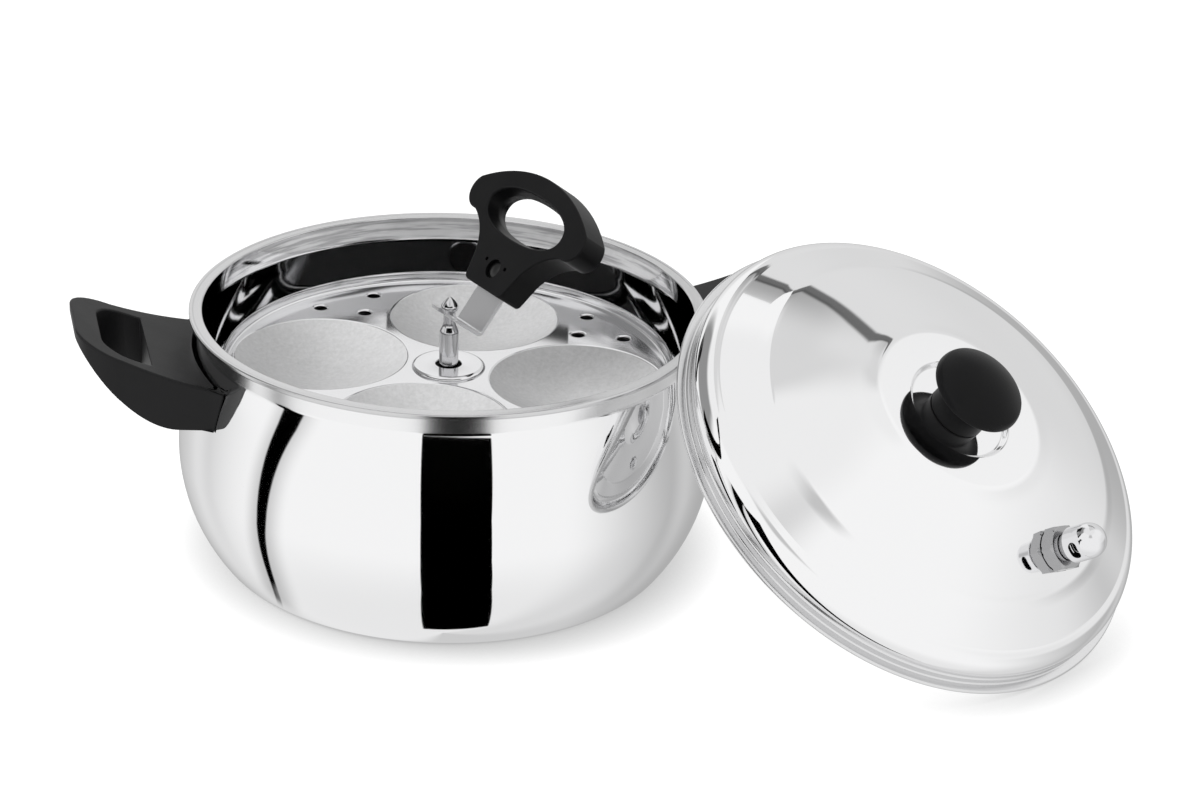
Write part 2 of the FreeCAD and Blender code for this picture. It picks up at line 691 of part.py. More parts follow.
high = "finger_hole_middle + finger_hole_end / 2"
add_outline(hole, [("-finger_hole_width / 2", low), ("finger_hole_width / 2", low),
                   ("finger_hole_width / 2", high), ("-finger_hole_width / 2", high)],
            {0: ARCH, 1: "finger_hole_end * 0.6", 2: ARCH, 3: "finger_hole_end * 0.6"})
pocketed(grip, "FingerHole", hole, "2 * grip_thickness")
tang = new_sketch(grip, "TangOutline", "XZ_Plane")
add_outline(tang, [(f"{LEG_IN} - fit_gap", "grip_bottom - cut_over"),
                   (f"{LEG_OUT} + fit_gap", "grip_bottom - cut_over"),
                   (f"{LEG_OUT} + fit_gap", "tang_top + fit_gap"),
                   (f"{LEG_IN} - fit_gap", "tang_top + fit_gap")])
pocketed(grip, "TangSlot", tang, "blade_width + 2 * fit_gap")
FACE = "(tab_length - grip_thickness / 2)"
SCREW_SEAT = f"({FACE} + lifter_screw_sunk + lifter_screw_head_height)"
for name, radius, end in (
        ("HeadRecess", "lifter_screw_head + running_gap", SCREW_SEAT),
        ("ScrewHole", "lifter_screw_radius + fit_gap",
         f"({SCREW_SEAT} + lifter_screw_length + fit_gap)")):
    bore = new_sketch(grip, name + "Outline", "YZ_Plane", FACE)
    add_circle(bore, "0", "lifter_screw_height", radius)
    pocketed(grip, name, bore, f"2 * ({end} - {FACE})")
grip.Placement = LIFTER
keep(grip, "lifter_grip")

screw = headed_pin("lifter_screw", "lifter_screw_radius", "lifter_screw_head",
                   "lifter_screw_head_height", "lifter_screw_length")
screw.Placement = (LIFTER * shifted(value(SCREW_SEAT), 0, value("lifter_screw_height"))
                   * about_y(-90))
keep(screw, "lifter_screw")

# Lid: its own frame has the flange's underside at zero and the dome up. It stands on the floor
# and leans until its flange meets the pot's lip, a lean gap short of touching.
lean = math.radians(value("lid_lean"))
flange_height = value("lid_radius") * math.sin(lean) + value("floor_gap")
climb = (value("pot_height - lip_thickness / 2") - flange_height) / math.sin(lean)
along = -climb * math.cos(lean)
beside = -math.sqrt(value("lid_radius") ** 2 - climb ** 2)
reach = value(f"{LIP_OUT} + lean_gap")
side = value("lid_offset")
away = math.sqrt(reach ** 2 - (side + beside) ** 2) - along
LID = (about_z(-value("lid_turn")) * shifted(away, side, flange_height)
       * about_y(value("lid_lean")) * about_z(value("lid_spin")))

DOME_CENTRE = "(step_height - sqrt(dome_radius^2 - step_radius^2))"


def dome(radius, inward="0"):
    """Height of the dome at a radius, or of a surface that lies inside it."""
    return f"({DOME_CENTRE} + sqrt((dome_radius - {inward})^2 - ({radius})^2))"


PLATEAU = f"({dome('ring_radius')} + ring_rise)"
WELL = f"({PLATEAU} - well_depth)"
lid = new_body("lid_form")
turned(lid, "Outside",
       [("0", "0"), ("lid_radius", "0"), ("lid_radius", "lid_flange"),
        ("lid_wall_radius", "lid_flange"), ("lid_wall_radius", "lid_wall_height"),
        ("crease_radius", "crease_height"), ("step_radius + step_drop", "step_height - step_drop"),
        ("step_radius", "step_height"), ("ring_radius", dome("ring_radius")),
        ("ring_radius - ring_rise", PLATEAU), ("well_radius", PLATEAU),
        ("well_radius - well_depth / 2", WELL), ("0", WELL)],
       {4: "shoulder_radius", 7: "dome_radius"})
turned(lid, "Inside",
       [("0", "-cut_over"), ("lid_wall_radius - lid_wall", "-cut_over"),
        ("lid_wall_radius - lid_wall", "lid_wall_height"),
        ("crease_radius", "crease_height - lid_wall * 1.15"),
        ("step_radius + step_drop", "step_height - step_drop - lid_wall * 1.15"),
        ("step_radius", dome("step_radius", "lid_wall")),
        ("ring_radius", dome("ring_radius", "lid_wall")),
        ("ring_radius - ring_rise", f"{PLATEAU} - lid_wall"),
        ("well_radius + lid_wall", f"{PLATEAU} - lid_wall"),
        ("well_radius - well_depth / 2 + lid_wall", f"{WELL} - lid_wall"),
        ("0", f"{WELL} - lid_wall")],
       {2: "shoulder_radius - lid_wall", 5: "dome_radius - lid_wall"}, kind="Groove")
bore = new_sketch(lid, "KnobHoleOutline", "XY_Plane", WELL)
add_circle(bore, "0", "0", "knob_screw_radius + running_gap")
pocketed(lid, "KnobHole", bore, "4 * lid_wall")

VENT = (shifted(value("vent_ring"), 0, value(dome("vent_ring")))
        * about_y(math.degrees(math.asin(value("vent_ring / dome_radius")))))
vent_hole = doc.addObject("Part::Cylinder", "VentHole")
vent_hole.setExpression("Radius", bound("vent_radius + running_gap"))
vent_hole.setExpression("Height", bound("8 * lid_wall"))
vent_hole.Placement = VENT * shifted(0, 0, value("-4 * lid_wall"))
lid_shell = doc.addObject("Part::Cut", "lid_shell")
lid_shell.Base = lid
lid_shell.Tool = vent_hole
lid_shell.Placement = LID
keep(lid_shell, "lid_shell")

# Knob: a mushroom on a threaded insert, drawn onto the lid's well by a screw from below.
knob = new_body("lid_knob")
CAP_TOP = "(knob_cap_height + knob_cap_edge)"
CAP_RISE = f"(knob_height - {CAP_TOP})"
turned(knob, "Mushroom",
       [("insert_radius + fit_gap", "0"), ("knob_base_radius", "0"),
        ("knob_neck_radius", "knob_neck_height"), ("knob_cap_radius", "knob_cap_height"),
        ("knob_cap_radius", CAP_TOP), ("0", "knob_height"), ("0", "insert_length + fit_gap"),
        ("insert_radius + fit_gap", "insert_length + fit_gap")],
       {2: "-(knob_cap_radius - knob_neck_radius)",
        4: f"((knob_cap_radius^2 + {CAP_RISE}^2) / (2 * {CAP_RISE}))"})
KNOB = LID * shifted(0, 0, value(WELL))
knob.Placement = KNOB
keep(knob, "lid_knob")
insert = tube("knob_insert", "knob_screw_radius + fit_gap", "insert_radius", "0", "insert_length")
insert.Placement = KNOB
keep(insert, "knob_insert")
washer = tube("knob_washer", "knob_screw_radius + fit_gap", "knob_washer_radius",
              "-lid_wall - knob_washer_thickness", "-lid_wall")
washer.Placement = KNOB
keep(washer, "knob_washer")
screw = headed_pin("knob_screw", "knob_screw_radius", "knob_screw_head",
                   "knob_screw_head_height", "knob_screw_length")
screw.Placement = KNOB * shifted(0, 0, -value("lid_wall + knob_washer_thickness")) * about_y(180)
keep(screw, "knob_screw")

# Steam vent, square to the dome: a flanged tube from inside, its washer and nut, and a slotted cap.
VENT_NUT_TOP = "(fit_gap + vent_nut_height)"
CAP_LOW = f"({VENT_NUT_TOP} + vent_thread)"
CAP_HIGH = f"({CAP_LOW} + vent_cap_height)"
FLANGE_TOP = "(-lid_wall - vent_washer_thickness - 2 * running_gap)"
stem = new_body("vent_stem")
turned(stem, "Stem",
       [("vent_bore", f"{FLANGE_TOP} - vent_flange"),
        ("vent_flange_radius", f"{FLANGE_TOP} - vent_flange"), ("vent_flange_radius", FLANGE_TOP),
        ("vent_radius", FLANGE_TOP), ("vent_radius", f"{CAP_LOW} + vent_grip"),
        ("vent_bore", f"{CAP_LOW} + vent_grip")])
stem.Placement = LID * VENT
keep(stem, "vent_stem")
washer = tube("vent_washer", "vent_radius + fit_gap", "vent_flange_radius",
              FLANGE_TOP, f"{FLANGE_TOP} + vent_washer_thickness")
washer.Placement = LID * VENT
keep(washer, "vent_washer")
nut = hex_nut("vent_nut", "vent_nut_flats", "vent_radius + fit_gap", "fit_gap", VENT_NUT_TOP)
nut.Placement = LID * VENT
keep(nut, "vent_nut")
cap = new_body("vent_cap")
CHAMBER = "(vent_cap_radius - vent_cap_wall)"
SHOULDER = f"({CAP_HIGH} - vent_cap_radius)"
turned(cap, "Cap",
       [("vent_radius + running_gap", CAP_LOW), ("vent_cap_radius", CAP_LOW),
        ("vent_cap_radius", SHOULDER), ("0", CAP_HIGH), ("0", f"{CAP_HIGH} - vent_cap_wall"),
        (CHAMBER, SHOULDER), (CHAMBER, f"{CAP_LOW} + vent_grip"),
        ("vent_radius + running_gap", f"{CAP_LOW} + vent_grip")],
       {2: "vent_cap_radius", 4: "-" + CHAMBER})
slot = new_sketch(cap, "SlotOutline", "XZ_Plane")
SIDE = "(vent_slot_width - vent_slot_height) / 2"
SLOT_HIGH = f"({CAP_HIGH} - vent_slot_top)"
SLOT_LOW = f"({SLOT_HIGH} - vent_slot_height)"
add_outline(slot, [(SIDE, SLOT_LOW), (SIDE, SLOT_HIGH), (f"-{SIDE}", SLOT_HIGH),
                   (f"-{SIDE}", SLOT_LOW)], {0: "half", 2: "half"})
pocketed(cap, "Slots", slot, "4 * vent_cap_radius")
cap.Placement = LID * VENT * about_z(value("vent_slot_turn"))
keep(cap, "vent_cap")

doc.recompute()
for item in doc.Objects:
    if "Invalid" in item.State or "Error" in item.State:
        raise RuntimeError(f"{item.Label} failed: {item.State}")
for piece in PIECES:
    if piece.Shape.isNull() or not piece.Shape.isValid():
        raise RuntimeError(f"{piece.Label} has no valid shape")
    if len(piece.Shape.Solids) != 1:
        raise RuntimeError(f"{piece.Label} has {len(piece.Shape.Solids)} solids")

os.makedirs("parts", exist_ok=True)
for piece in PIECES:
    piece.Shape.exportStep(f"parts/{piece.Label}.step")
print(f"{len(PIECES)} pieces written")
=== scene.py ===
import math

import bmesh
import bpy
from mathutils import Matrix, Vector


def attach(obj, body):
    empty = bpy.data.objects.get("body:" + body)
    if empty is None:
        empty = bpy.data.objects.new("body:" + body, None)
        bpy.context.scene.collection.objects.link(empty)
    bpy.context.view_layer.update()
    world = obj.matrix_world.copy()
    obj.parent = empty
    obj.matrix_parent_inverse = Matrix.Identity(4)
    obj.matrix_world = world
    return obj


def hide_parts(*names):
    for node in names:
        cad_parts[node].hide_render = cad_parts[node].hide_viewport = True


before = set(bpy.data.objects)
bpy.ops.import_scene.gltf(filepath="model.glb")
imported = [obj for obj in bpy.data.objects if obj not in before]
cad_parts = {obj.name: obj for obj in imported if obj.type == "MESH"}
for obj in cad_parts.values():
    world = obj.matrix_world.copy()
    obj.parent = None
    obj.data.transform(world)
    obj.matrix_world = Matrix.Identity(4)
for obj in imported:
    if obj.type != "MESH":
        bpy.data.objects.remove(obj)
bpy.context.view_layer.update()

# The camera: a long lens a little above the lip, rolled slightly, aimed between the pot and the
# lid that leans on it. Its place is in metres.
VIEW_TARGET = Vector((0.06385, 0, 0.067))
VIEW_DISTANCE = 1.2
VIEW_ELEVATION = math.radians(24.75)
VIEW_ROLL = math.radians(2.64)
FOCAL_PIXELS = 2861
IMAGE_WIDTH = 1200

lens = bpy.data.cameras.new("camera")
lens.sensor_width = 36
lens.lens = lens.sensor_width * FOCAL_PIXELS / IMAGE_WIDTH
camera = bpy.data.objects.new("camera", lens)
camera.matrix_world = (Matrix.Translation(VIEW_TARGET)
                       @ Matrix.Rotation(math.pi / 2 - VIEW_ELEVATION, 4, "X")
                       @ Matrix.Rotation(VIEW_ROLL, 4, "Z")
                       @ Matrix.Translation((0, 0, VIEW_DISTANCE)))
bpy.context.scene.collection.objects.link(camera)
bpy.context.scene.camera = camera
bpy.context.scene.view_settings.view_transform = "Standard"

# Pot shell: spun from stainless sheet, with a round belly, a straight neck above a crease and a
# flat lip with a rolled edge, then buffed to a mirror. Pieces are drawn in millimetres.
MILLIMETRE = 0.001
POT_HEIGHT = 106.5
POT_WALL = 1.2
BELLY_RADIUS = 112.08
BELLY_HEIGHT = 47
BELLY_LOWER = 75
NECK_INSIDE = 101.5
NECK_OUTSIDE = NECK_INSIDE + POT_WALL
LIP_OUTSIDE = 107
LIP_UNDER = 104.1
CREASE_HEIGHT = 96.6
GROOVE_OUTER = 105.5
GROOVE_INNER = 103
GROOVE_DEPTH = 0.25
ARC_STEP = math.radians(3)
SOFT_STEPS = 6
TURN_STEPS = 192
FINE_TURN_STEPS = 256
STEEL = (0.9, 0.9, 0.905, 1)
LIP_STEEL = (0.66, 0.66, 0.665, 1)
STREAK_STEEL = (0.4, 0.4, 0.405, 1)


class Shade:
    """One output of a shader node. Arithmetic on it adds Math nodes to its tree."""

    def __init__(self, socket):
        self.socket = socket
        self.tree = socket.id_data

    def node(self, kind, settings=None, values=None, output=0):
        """Adds a node of any kind: its settings first, then the values or links of its sockets."""
        made = self.tree.nodes.new(kind)
        for name, setting in (settings or {}).items():
            setattr(made, name, setting)
        feed(made, values or {})
        return Shade(made.outputs[output])

    def operate(self, operation, *terms):
        return self.node("ShaderNodeMath", {"operation": operation}, dict(enumerate(terms)))

    def __add__(self, other):
        return self.operate("ADD", self, other)

    def __radd__(self, other):
        return self.operate("ADD", other, self)

    def __sub__(self, other):
        return self.operate("SUBTRACT", self, other)

    def __rsub__(self, other):
        return self.operate("SUBTRACT", other, self)

    def __mul__(self, other):
        return self.operate("MULTIPLY", self, other)

    def __rmul__(self, other):
        return self.operate("MULTIPLY", other, self)

    def __pow__(self, other):
        return self.operate("POWER", self, other)


def feed(node, values):
    """Sets a node's sockets, or links them where the value is another node's output."""
    for name, value in values.items():
        if isinstance(value, Shade):
            node.id_data.links.new(value.socket, node.inputs[name])
        else:
            node.inputs[name].default_value = value


def new_finish(name):
    """A fresh material, its surface shader, and the place of each point in the row's frame."""
    material = bpy.data.materials.new(name)
    material.use_nodes = True
    nodes = material.node_tree.nodes
    place = Shade(nodes.new("ShaderNodeTexCoord").outputs["Object"])
    return material, nodes["Principled BSDF"], place


def noise(place, scale, detail=2, roughness=0.5):
    return place.node("ShaderNodeTexNoise", values={
        "Vector": place, "Scale": scale, "Detail": detail, "Roughness": roughness})


def bump(height, distance, strength=1):
    return height.node("ShaderNodeBump", values={
        "Height": height, "Distance": distance, "Strength": strength})


def parts(place):
    """The three coordinates of a place."""
    split = place.tree.nodes.new("ShaderNodeSeparateXYZ")
    feed(split, {0: place})
    return [Shade(socket) for socket in split.outputs]


def joined(x, y, z):
    return x.node("ShaderNodeCombineXYZ", values={0: x, 1: y, 2: z})


def step(value, low, high):
    """Rises smoothly from 0 to 1 between two values."""
    return value.node("ShaderNodeMapRange", {"interpolation_type": "SMOOTHSTEP"},
                      {"Value": value, "From Min": low, "From Max": high})


def band(value, low, high, soft):
    """1 between two values, with soft edges."""
    return step(value, low - soft, low + soft) * (1 - step(value, high - soft, high + soft))


def blend(factor, first, second):
    """A colour between two, by a factor from 0 to 1. The node's colour sockets go by number."""
    return factor.node("ShaderNodeMix", {"data_type": "RGBA"},
                       {"Factor": factor, 6: first, 7: second}, 2)


def spun_pot_steel(name):
    """The pot's sheet: a mirror outside, satin on neck and lip, fine spinning rings inside."""
    material, surface, place = new_finish(name)
    x, y, z = parts(place)
    radius = (x * x + y * y) ** 0.5
    upper = step(z, (CREASE_HEIGHT - 0.2) * MILLIMETRE, (CREASE_HEIGHT + 0.4) * MILLIMETRE)
    satin = upper * step(radius, (NECK_INSIDE + 0.4) * MILLIMETRE, (NECK_INSIDE + 0.8) * MILLIMETRE)
    lip = step(z, (LIP_UNDER - 0.1) * MILLIMETRE, (LIP_UNDER + 0.2) * MILLIMETRE)
    rings = noise(joined(radius, radius, z), 1300, 3, 0.6)
    long_noise = noise(joined(x * 0.06, y * 0.06, z), 520, 3, 0.6)
    streaks = step(long_noise, 0.44, 0.62) * (upper - satin)
    wipe = noise(place, 34, 4, 0.62)
    sheet = blend(lip, STEEL, LIP_STEEL)
    feed(surface, {"Base Color": blend(streaks * 0.7, sheet, STREAK_STEEL), "Metallic": 1,
                   "Roughness": 0.02 + wipe * 0.03 + satin * 0.2,
                   "Normal": bump(noise(place, 22, 1) + rings * (upper - satin * 0.7), 0.00001)})
    return material


def polished_steel(name, colour, gloss, wave=0.00001):
    """Buffed sheet: sharp reflections, faint wipe marks and a slight wave left by the spinning."""
    material, surface, place = new_finish(name)
    wipe = noise(place, 34, 4, 0.62)
    grain = noise(place, 900, 2)
    feed(surface, {"Base Color": colour, "Metallic": 1,
                   "Roughness": gloss + wipe * 0.035 + grain * 0.012,
                   "Normal": bump(noise(place, 22, 1), wave)})
    return material


def path(corners, bends=None, spacing=None):
    """Points through the corners. A side named in bends is an arc of that radius that turns left,
    or right where the radius is negative. Straight sides are divided where a spacing is given."""
    points = []
    for i, corner in enumerate(corners):
        start, end = Vector(corner), Vector(corners[(i + 1) % len(corners)])
        chord = end - start
        if bends and i in bends:
            radius = bends[i]
            across = Vector((-chord.y, chord.x)).normalized()
            inset = math.sqrt(max(radius ** 2 - chord.length_squared / 4, 0))
            centre = (start + end) / 2 + across * math.copysign(inset, radius)
            turn = 2 * math.asin(min(chord.length / 2 / abs(radius), 1))
            steps = max(2, round(turn / ARC_STEP))
            for k in range(steps):
                swing = Matrix.Rotation(math.copysign(turn, radius) * k / steps, 2)
                points.append(centre + swing @ (start - centre))
        else:
            steps = math.ceil(chord.length / spacing) if spacing else 1
            points += [start.lerp(end, k / steps) for k in range(steps)]
    return points


def turned(bm, corners, bends=None, soft=None, closed=False, steps=TURN_STEPS, place=None):
    """Turns a radius and height outline about Z. Corners named in soft are rounded by a reach."""
    before = set(bm.verts)
    verts = [bm.verts.new((x, 0, z)) for x, z in path(corners, bends)]
    for pair in zip(verts, verts[1:] + (verts[:1] if closed else [])):
        bm.edges.new(pair)
    for index, reach in (soft or {}).items():
        corner = Vector((corners[index][0], 0, corners[index][1]))
        nearest = min((v for v in bm.verts if v not in before),
                      key=lambda vert: (vert.co - corner).length)
        bmesh.ops.bevel(bm, geom=[nearest], offset=reach, offset_type="OFFSET", affect="VERTICES",
                        segments=SOFT_STEPS, profile=0.5, material=-1)
    outline = [v for v in bm.verts if v not in before]
    edges = {edge for vert in outline for edge in vert.link_edges}
    faces = set(bm.faces)
    bmesh.ops.spin(bm, geom=outline + list(edges), axis=(0, 0, 1), cent=(0, 0, 0),
                   angle=2 * math.pi, steps=steps, use_merge=True)
    bmesh.ops.remove_doubles(bm, verts=[v for v in bm.verts if v not in before], dist=0.0005)
    made = [face for face in bm.faces if face not in faces]
    if place is not None:
        bmesh.ops.transform(bm, matrix=place, verts=list({v for face in made for v in face.verts}))
    return made


def even_normals(made):
    """Shades flat faces as flat, beside rounded edges."""
    made.modifiers.new("even_normals", "WEIGHTED_NORMAL").keep_sharp = True


def piece(name, bm, body, nodes, finishes, place=None, even=True):
    """Makes the mesh an object of the row's frame that stands for its CAD nodes."""
    bmesh.ops.transform(bm, matrix=Matrix.Scale(MILLIMETRE, 4) @ (place or Matrix()),
                        verts=bm.verts)
    mesh = bpy.data.meshes.new(name)
    bm.to_mesh(mesh)
    bm.free()
    mesh.shade_smooth()
    for finish in finishes:
        mesh.materials.append(finish)
    made = bpy.data.objects.new(name, mesh)
    bpy.context.scene.collection.objects.link(made)
    if even:
        even_normals(made)
    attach(made, body)
    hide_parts(*nodes)
    return made


def closed_turn(*args, **settings):
    """A turned solid of its own, its faces outwards."""
    bm = bmesh.new()
    turned(bm, *args, **settings)
    bmesh.ops.recalc_face_normals(bm, faces=bm.faces)
    return bm


def lower_belly(offset, height):
    """Radius of the belly under its widest height, offset from the outer skin."""
    return BELLY_RADIUS - BELLY_LOWER + math.sqrt(
        (BELLY_LOWER + offset) ** 2 - (BELLY_HEIGHT - height) ** 2)


rise, draw_in = CREASE_HEIGHT - BELLY_HEIGHT, BELLY_RADIUS - NECK_OUTSIDE
BELLY_UPPER = (rise ** 2 + draw_in ** 2) / (2 * draw_in)


def upper_belly(offset, height):
    """Radius of the belly above its widest height, offset from the outer skin."""
    return BELLY_RADIUS - BELLY_UPPER + math.sqrt(
        (BELLY_UPPER + offset) ** 2 - (height - BELLY_HEIGHT) ** 2)


inner_crease = BELLY_HEIGHT + math.sqrt(
    (BELLY_UPPER - POT_WALL) ** 2 - (NECK_INSIDE - BELLY_RADIUS + BELLY_UPPER) ** 2)
pot_steel = spun_pot_steel("pot_mirror_steel")
pot = closed_turn(
    [(0, 0), (lower_belly(0, 0), 0), (BELLY_RADIUS, BELLY_HEIGHT), (NECK_OUTSIDE, CREASE_HEIGHT),
     (NECK_OUTSIDE, LIP_UNDER), (LIP_OUTSIDE, LIP_UNDER), (LIP_OUTSIDE, POT_HEIGHT),
     (GROOVE_OUTER, POT_HEIGHT), (GROOVE_OUTER - 0.3, POT_HEIGHT - GROOVE_DEPTH),
     (GROOVE_INNER, POT_HEIGHT - GROOVE_DEPTH),
     (NECK_INSIDE, POT_HEIGHT - 0.1), (NECK_INSIDE, inner_crease),
     (BELLY_RADIUS - POT_WALL, BELLY_HEIGHT), (lower_belly(-POT_WALL, POT_WALL), POT_WALL),
     (0, POT_WALL)],
    {1: BELLY_LOWER, 2: BELLY_UPPER, 11: POT_WALL - BELLY_UPPER, 12: POT_WALL - BELLY_LOWER},
    {1: 2.4, 3: 0.8, 4: 0.5, 5: 1.1, 6: 0.7, 7: 0.14, 8: 0.14, 10: 0.7, 11: 0.8, 13: 2.4},
    steps=FINE_TURN_STEPS)
piece("pot_shell_polished", pot, "pot", ["pot_shell"], [pot_steel])

# Handles: moulded bakelite loops that hug the belly, sweep up to a thin tip and hold a finger
# opening. One drawn shape is turned to each side of the pot.
HANDLE_TURN = math.radians(15)
HANDLE_ROOT = 93.5
HANDLE_TIP = 154.1
HANDLE_ROOT_HALF = 38.8
HANDLE_TIP_HALF = 30
HANDLE_CORNER = 17
HANDLE_ROOT_TOP = 91.1
HANDLE_ROOT_LOW = 74.1
HANDLE_RISE = 21
HANDLE_SAG = 8.2
UNDERSIDE_CURVE = 1.9
HANDLE_TIP_DEPTH = 4
HANDLE_HEEL = 116
OPENING_INNER = 125.1
OPENING_OUTER = 143.6
OPENING_HALF = 24
OPENING_CORNER = 12
HANDLE_GAP = 0.3
HANDLE_SCREW_HEIGHT = 82.6


def black_bakelite(name, colour, gloss, shine):
    """Moulded phenolic: near black, satin, with a fine mould grain and rubbed patches."""
    material, surface, place = new_finish(name)
    cloud = noise(place, 55, 4, 0.6)
    speck = noise(place, 1400, 2)
    tone = blend(cloud, (*[c * 0.7 for c in colour], 1), (*[c * 1.4 for c in colour], 1))
    feed(surface, {"Base Color": tone, "Roughness": gloss + cloud * 0.12 + speck * 0.06,
                   "Specular IOR Level": shine, "Normal": bump(speck + cloud * 2, 0.00002)})
    return material


def stretch(start, end, steps):
    """Points along a straight side, without its end."""
    return [Vector(start).lerp(Vector(end), k / steps) for k in range(steps)]


def loop_outline(low, high, half_low, half_high, corner):
    """Points of a loop with a straight root side and two rounded tip corners."""
    tip, flat = high - corner, half_high - corner
    bow = [(corner * math.sin(k * math.pi / 24), corner * math.cos(k * math.pi / 24))
           for k in range(12)]
    return (stretch((low, half_low), (low, -half_low), 40)
            + stretch((low, -half_low), (tip, -half_high), 30)
            + [Vector((tip + x, -flat - y)) for x, y in bow]
            + stretch((high, -flat), (high, flat), 16)
            + [Vector((tip + y, flat + x)) for x, y in bow]
            + stretch((tip, half_high), (low, half_low), 30))


def handle_top(along):
    """Height of the handle's top at a distance from the pot's axis."""
    share = (along - NECK_INSIDE) / (HANDLE_TIP - NECK_INSIDE)
    return HANDLE_ROOT_TOP + HANDLE_RISE * share - HANDLE_SAG * share * (1 - share)


def handle_bottom(along):
    """Height of the handle's underside, which is level as far as the heel."""
    share = max(along - HANDLE_HEEL, 0) / (HANDLE_TIP - HANDLE_HEEL)
    rise = handle_top(HANDLE_TIP) - HANDLE_TIP_DEPTH - HANDLE_ROOT_LOW
    return HANDLE_ROOT_LOW + rise * share ** UNDERSIDE_CURVE


def lofted(bm, loops):
    """Draws closed loops through points, and gives each loop's edges."""
    made = []
    for points in loops:
        verts = [bm.verts.new(point) for point in points]
        made.append([bm.edges.new(pair) for pair in zip(verts, verts[1:] + verts[:1])])
    return made


def ring_shape(loops, reaches, segments):
    """A ring of skin through closed loops, whose edges are rounded by a reach each."""
    bm = bmesh.new()
    rings = lofted(bm, loops)
    for first, second in zip(rings, rings[1:] + rings[:1]):
        bmesh.ops.bridge_loops(bm, edges=first + second)
    for ring, reach in zip(rings, reaches):
        if reach:
            bmesh.ops.bevel(bm, geom=ring, offset=reach, offset_type="OFFSET", affect="EDGES",
                            segments=segments, profile=0.5, material=-1, clamp_overlap=True)
    bmesh.ops.recalc_face_normals(bm, faces=bm.faces)
    return bm


def handle_loop(height, inward):
    """One closed loop of the handle's skin, from the outer outline at 0 to the opening at 1. The
    root is moved out to the belly's skin, whose radius follows from the height found there."""
    opening = loop_outline(OPENING_INNER, OPENING_OUTER, OPENING_HALF, OPENING_HALF,
                           OPENING_CORNER)
    outline = loop_outline(HANDLE_ROOT, HANDLE_TIP, HANDLE_ROOT_HALF, HANDLE_TIP_HALF,
                           HANDLE_CORNER)
    loop = []
    for (along, across), inner in zip(outline, opening):
        for _ in range(3):
            belly = upper_belly(HANDLE_GAP, height(along))
            along = max(along, math.sqrt(belly ** 2 - across ** 2))
        along, across = Vector((along, across)).lerp(inner, inward)
        loop.append((along, across, height(along)))
    return loop


bakelite = black_bakelite("handle_bakelite", (0.005, 0.005, 0.0053), 0.34, 0.2)
screw_steel = polished_steel("screw_bright_steel", (0.75, 0.75, 0.76, 1), 0.12)
for side, turn in (("right", HANDLE_TURN), ("left", HANDLE_TURN + math.pi)):
    inwards = (0, 0.22, 0.5, 0.78, 1)
    bm = ring_shape([handle_loop(handle_top, inward) for inward in inwards]
                    + [handle_loop(handle_bottom, inward) for inward in reversed(inwards)],
                    (1.3, 0, 0, 0, 0.8, 0.8, 0, 0, 0, 1.3), 4)
    turned_to = Matrix.Rotation(turn, 4, "Z")
    piece(f"handle_{side}_moulding", bm, "pot", [f"handle_{side}"], [bakelite],
          turned_to)
    screw = closed_turn([(0, -15), (2.5, -15), (2.5, 0), (4.4, 0), (4.4, 1), (0, 2.4), (0, 1.6)],
                        {4: 8.5}, {2: 0.3, 3: 0.3, 4: 0.5}, steps=48)
    piece(f"handle_{side}_screw", screw, "pot", [f"handle_screw_{side}"],
          [screw_steel], turned_to @ Matrix.Translation((OPENING_INNER, 0, HANDLE_SCREW_HEIGHT))
          @ Matrix.Rotation(math.pi / 2, 4, "Y"))

# Stand: a polished stem with a waisted neck and a pointed head, on a round foot held by a nut,
# with loose sleeves between the plates.
PLATE_LEVEL = 78
PLATE_PITCH = 26
PLATE_LEVELS = (("lower", 2), ("middle", 1), ("upper", 0))
BOSS_HEIGHT = 1.5
PLATE_THICKNESS = 1
STEM_RADIUS = 4
STEM_NECK = 2.5
HEAD_RADIUS = 3.6
FOOT_BORE = 4.1
FOOT_RADIUS = 28
FOOT_TOP = 4.2
SLEEVE_BORE = 4.3
SLEEVE_MOUTH = 6.2
SLEEVE_RADIUS = 8
stem_steel = polished_steel("stem_polished_steel", (0.62, 0.62, 0.63, 1), 0.06)
# The sleeves' near-black colour is painted shade: it stands in for the shadow seen down the plates'
# bores round the stem.
sleeve_shaded_steel = polished_steel("sleeve_painted_shade_steel", (0.04, 0.04, 0.041, 1), 0.45)
plain_steel = polished_steel("plain_fastener_steel", (0.6, 0.6, 0.61, 1), 0.22)
rod = closed_turn([(0, POT_WALL), (STEM_RADIUS, POT_WALL), (STEM_RADIUS, 95.2), (STEM_NECK, 98.4),
                   (STEM_NECK, 103.9), (HEAD_RADIUS, 105.2), (HEAD_RADIUS, 106.5), (0.5, 110.4),
                   (0, 110.4)], {6: 13},
                  {1: 0.5, 2: 0.5, 3: 1, 4: 0.5, 5: 0.6, 6: 0.6, 7: 0.25}, steps=64)
piece("stand_stem", rod, "stand", ["stand_rod"], [stem_steel])
foot = closed_turn([(FOOT_BORE, POT_WALL), (FOOT_RADIUS, POT_WALL), (FOOT_RADIUS, FOOT_TOP),
                    (FOOT_BORE, FOOT_TOP)], None, {1: 0.8, 2: 0.8}, closed=True, steps=96)
piece("stand_foot_disc", foot, "stand", ["stand_foot"], [stem_steel])
sleeve_low = 10.2
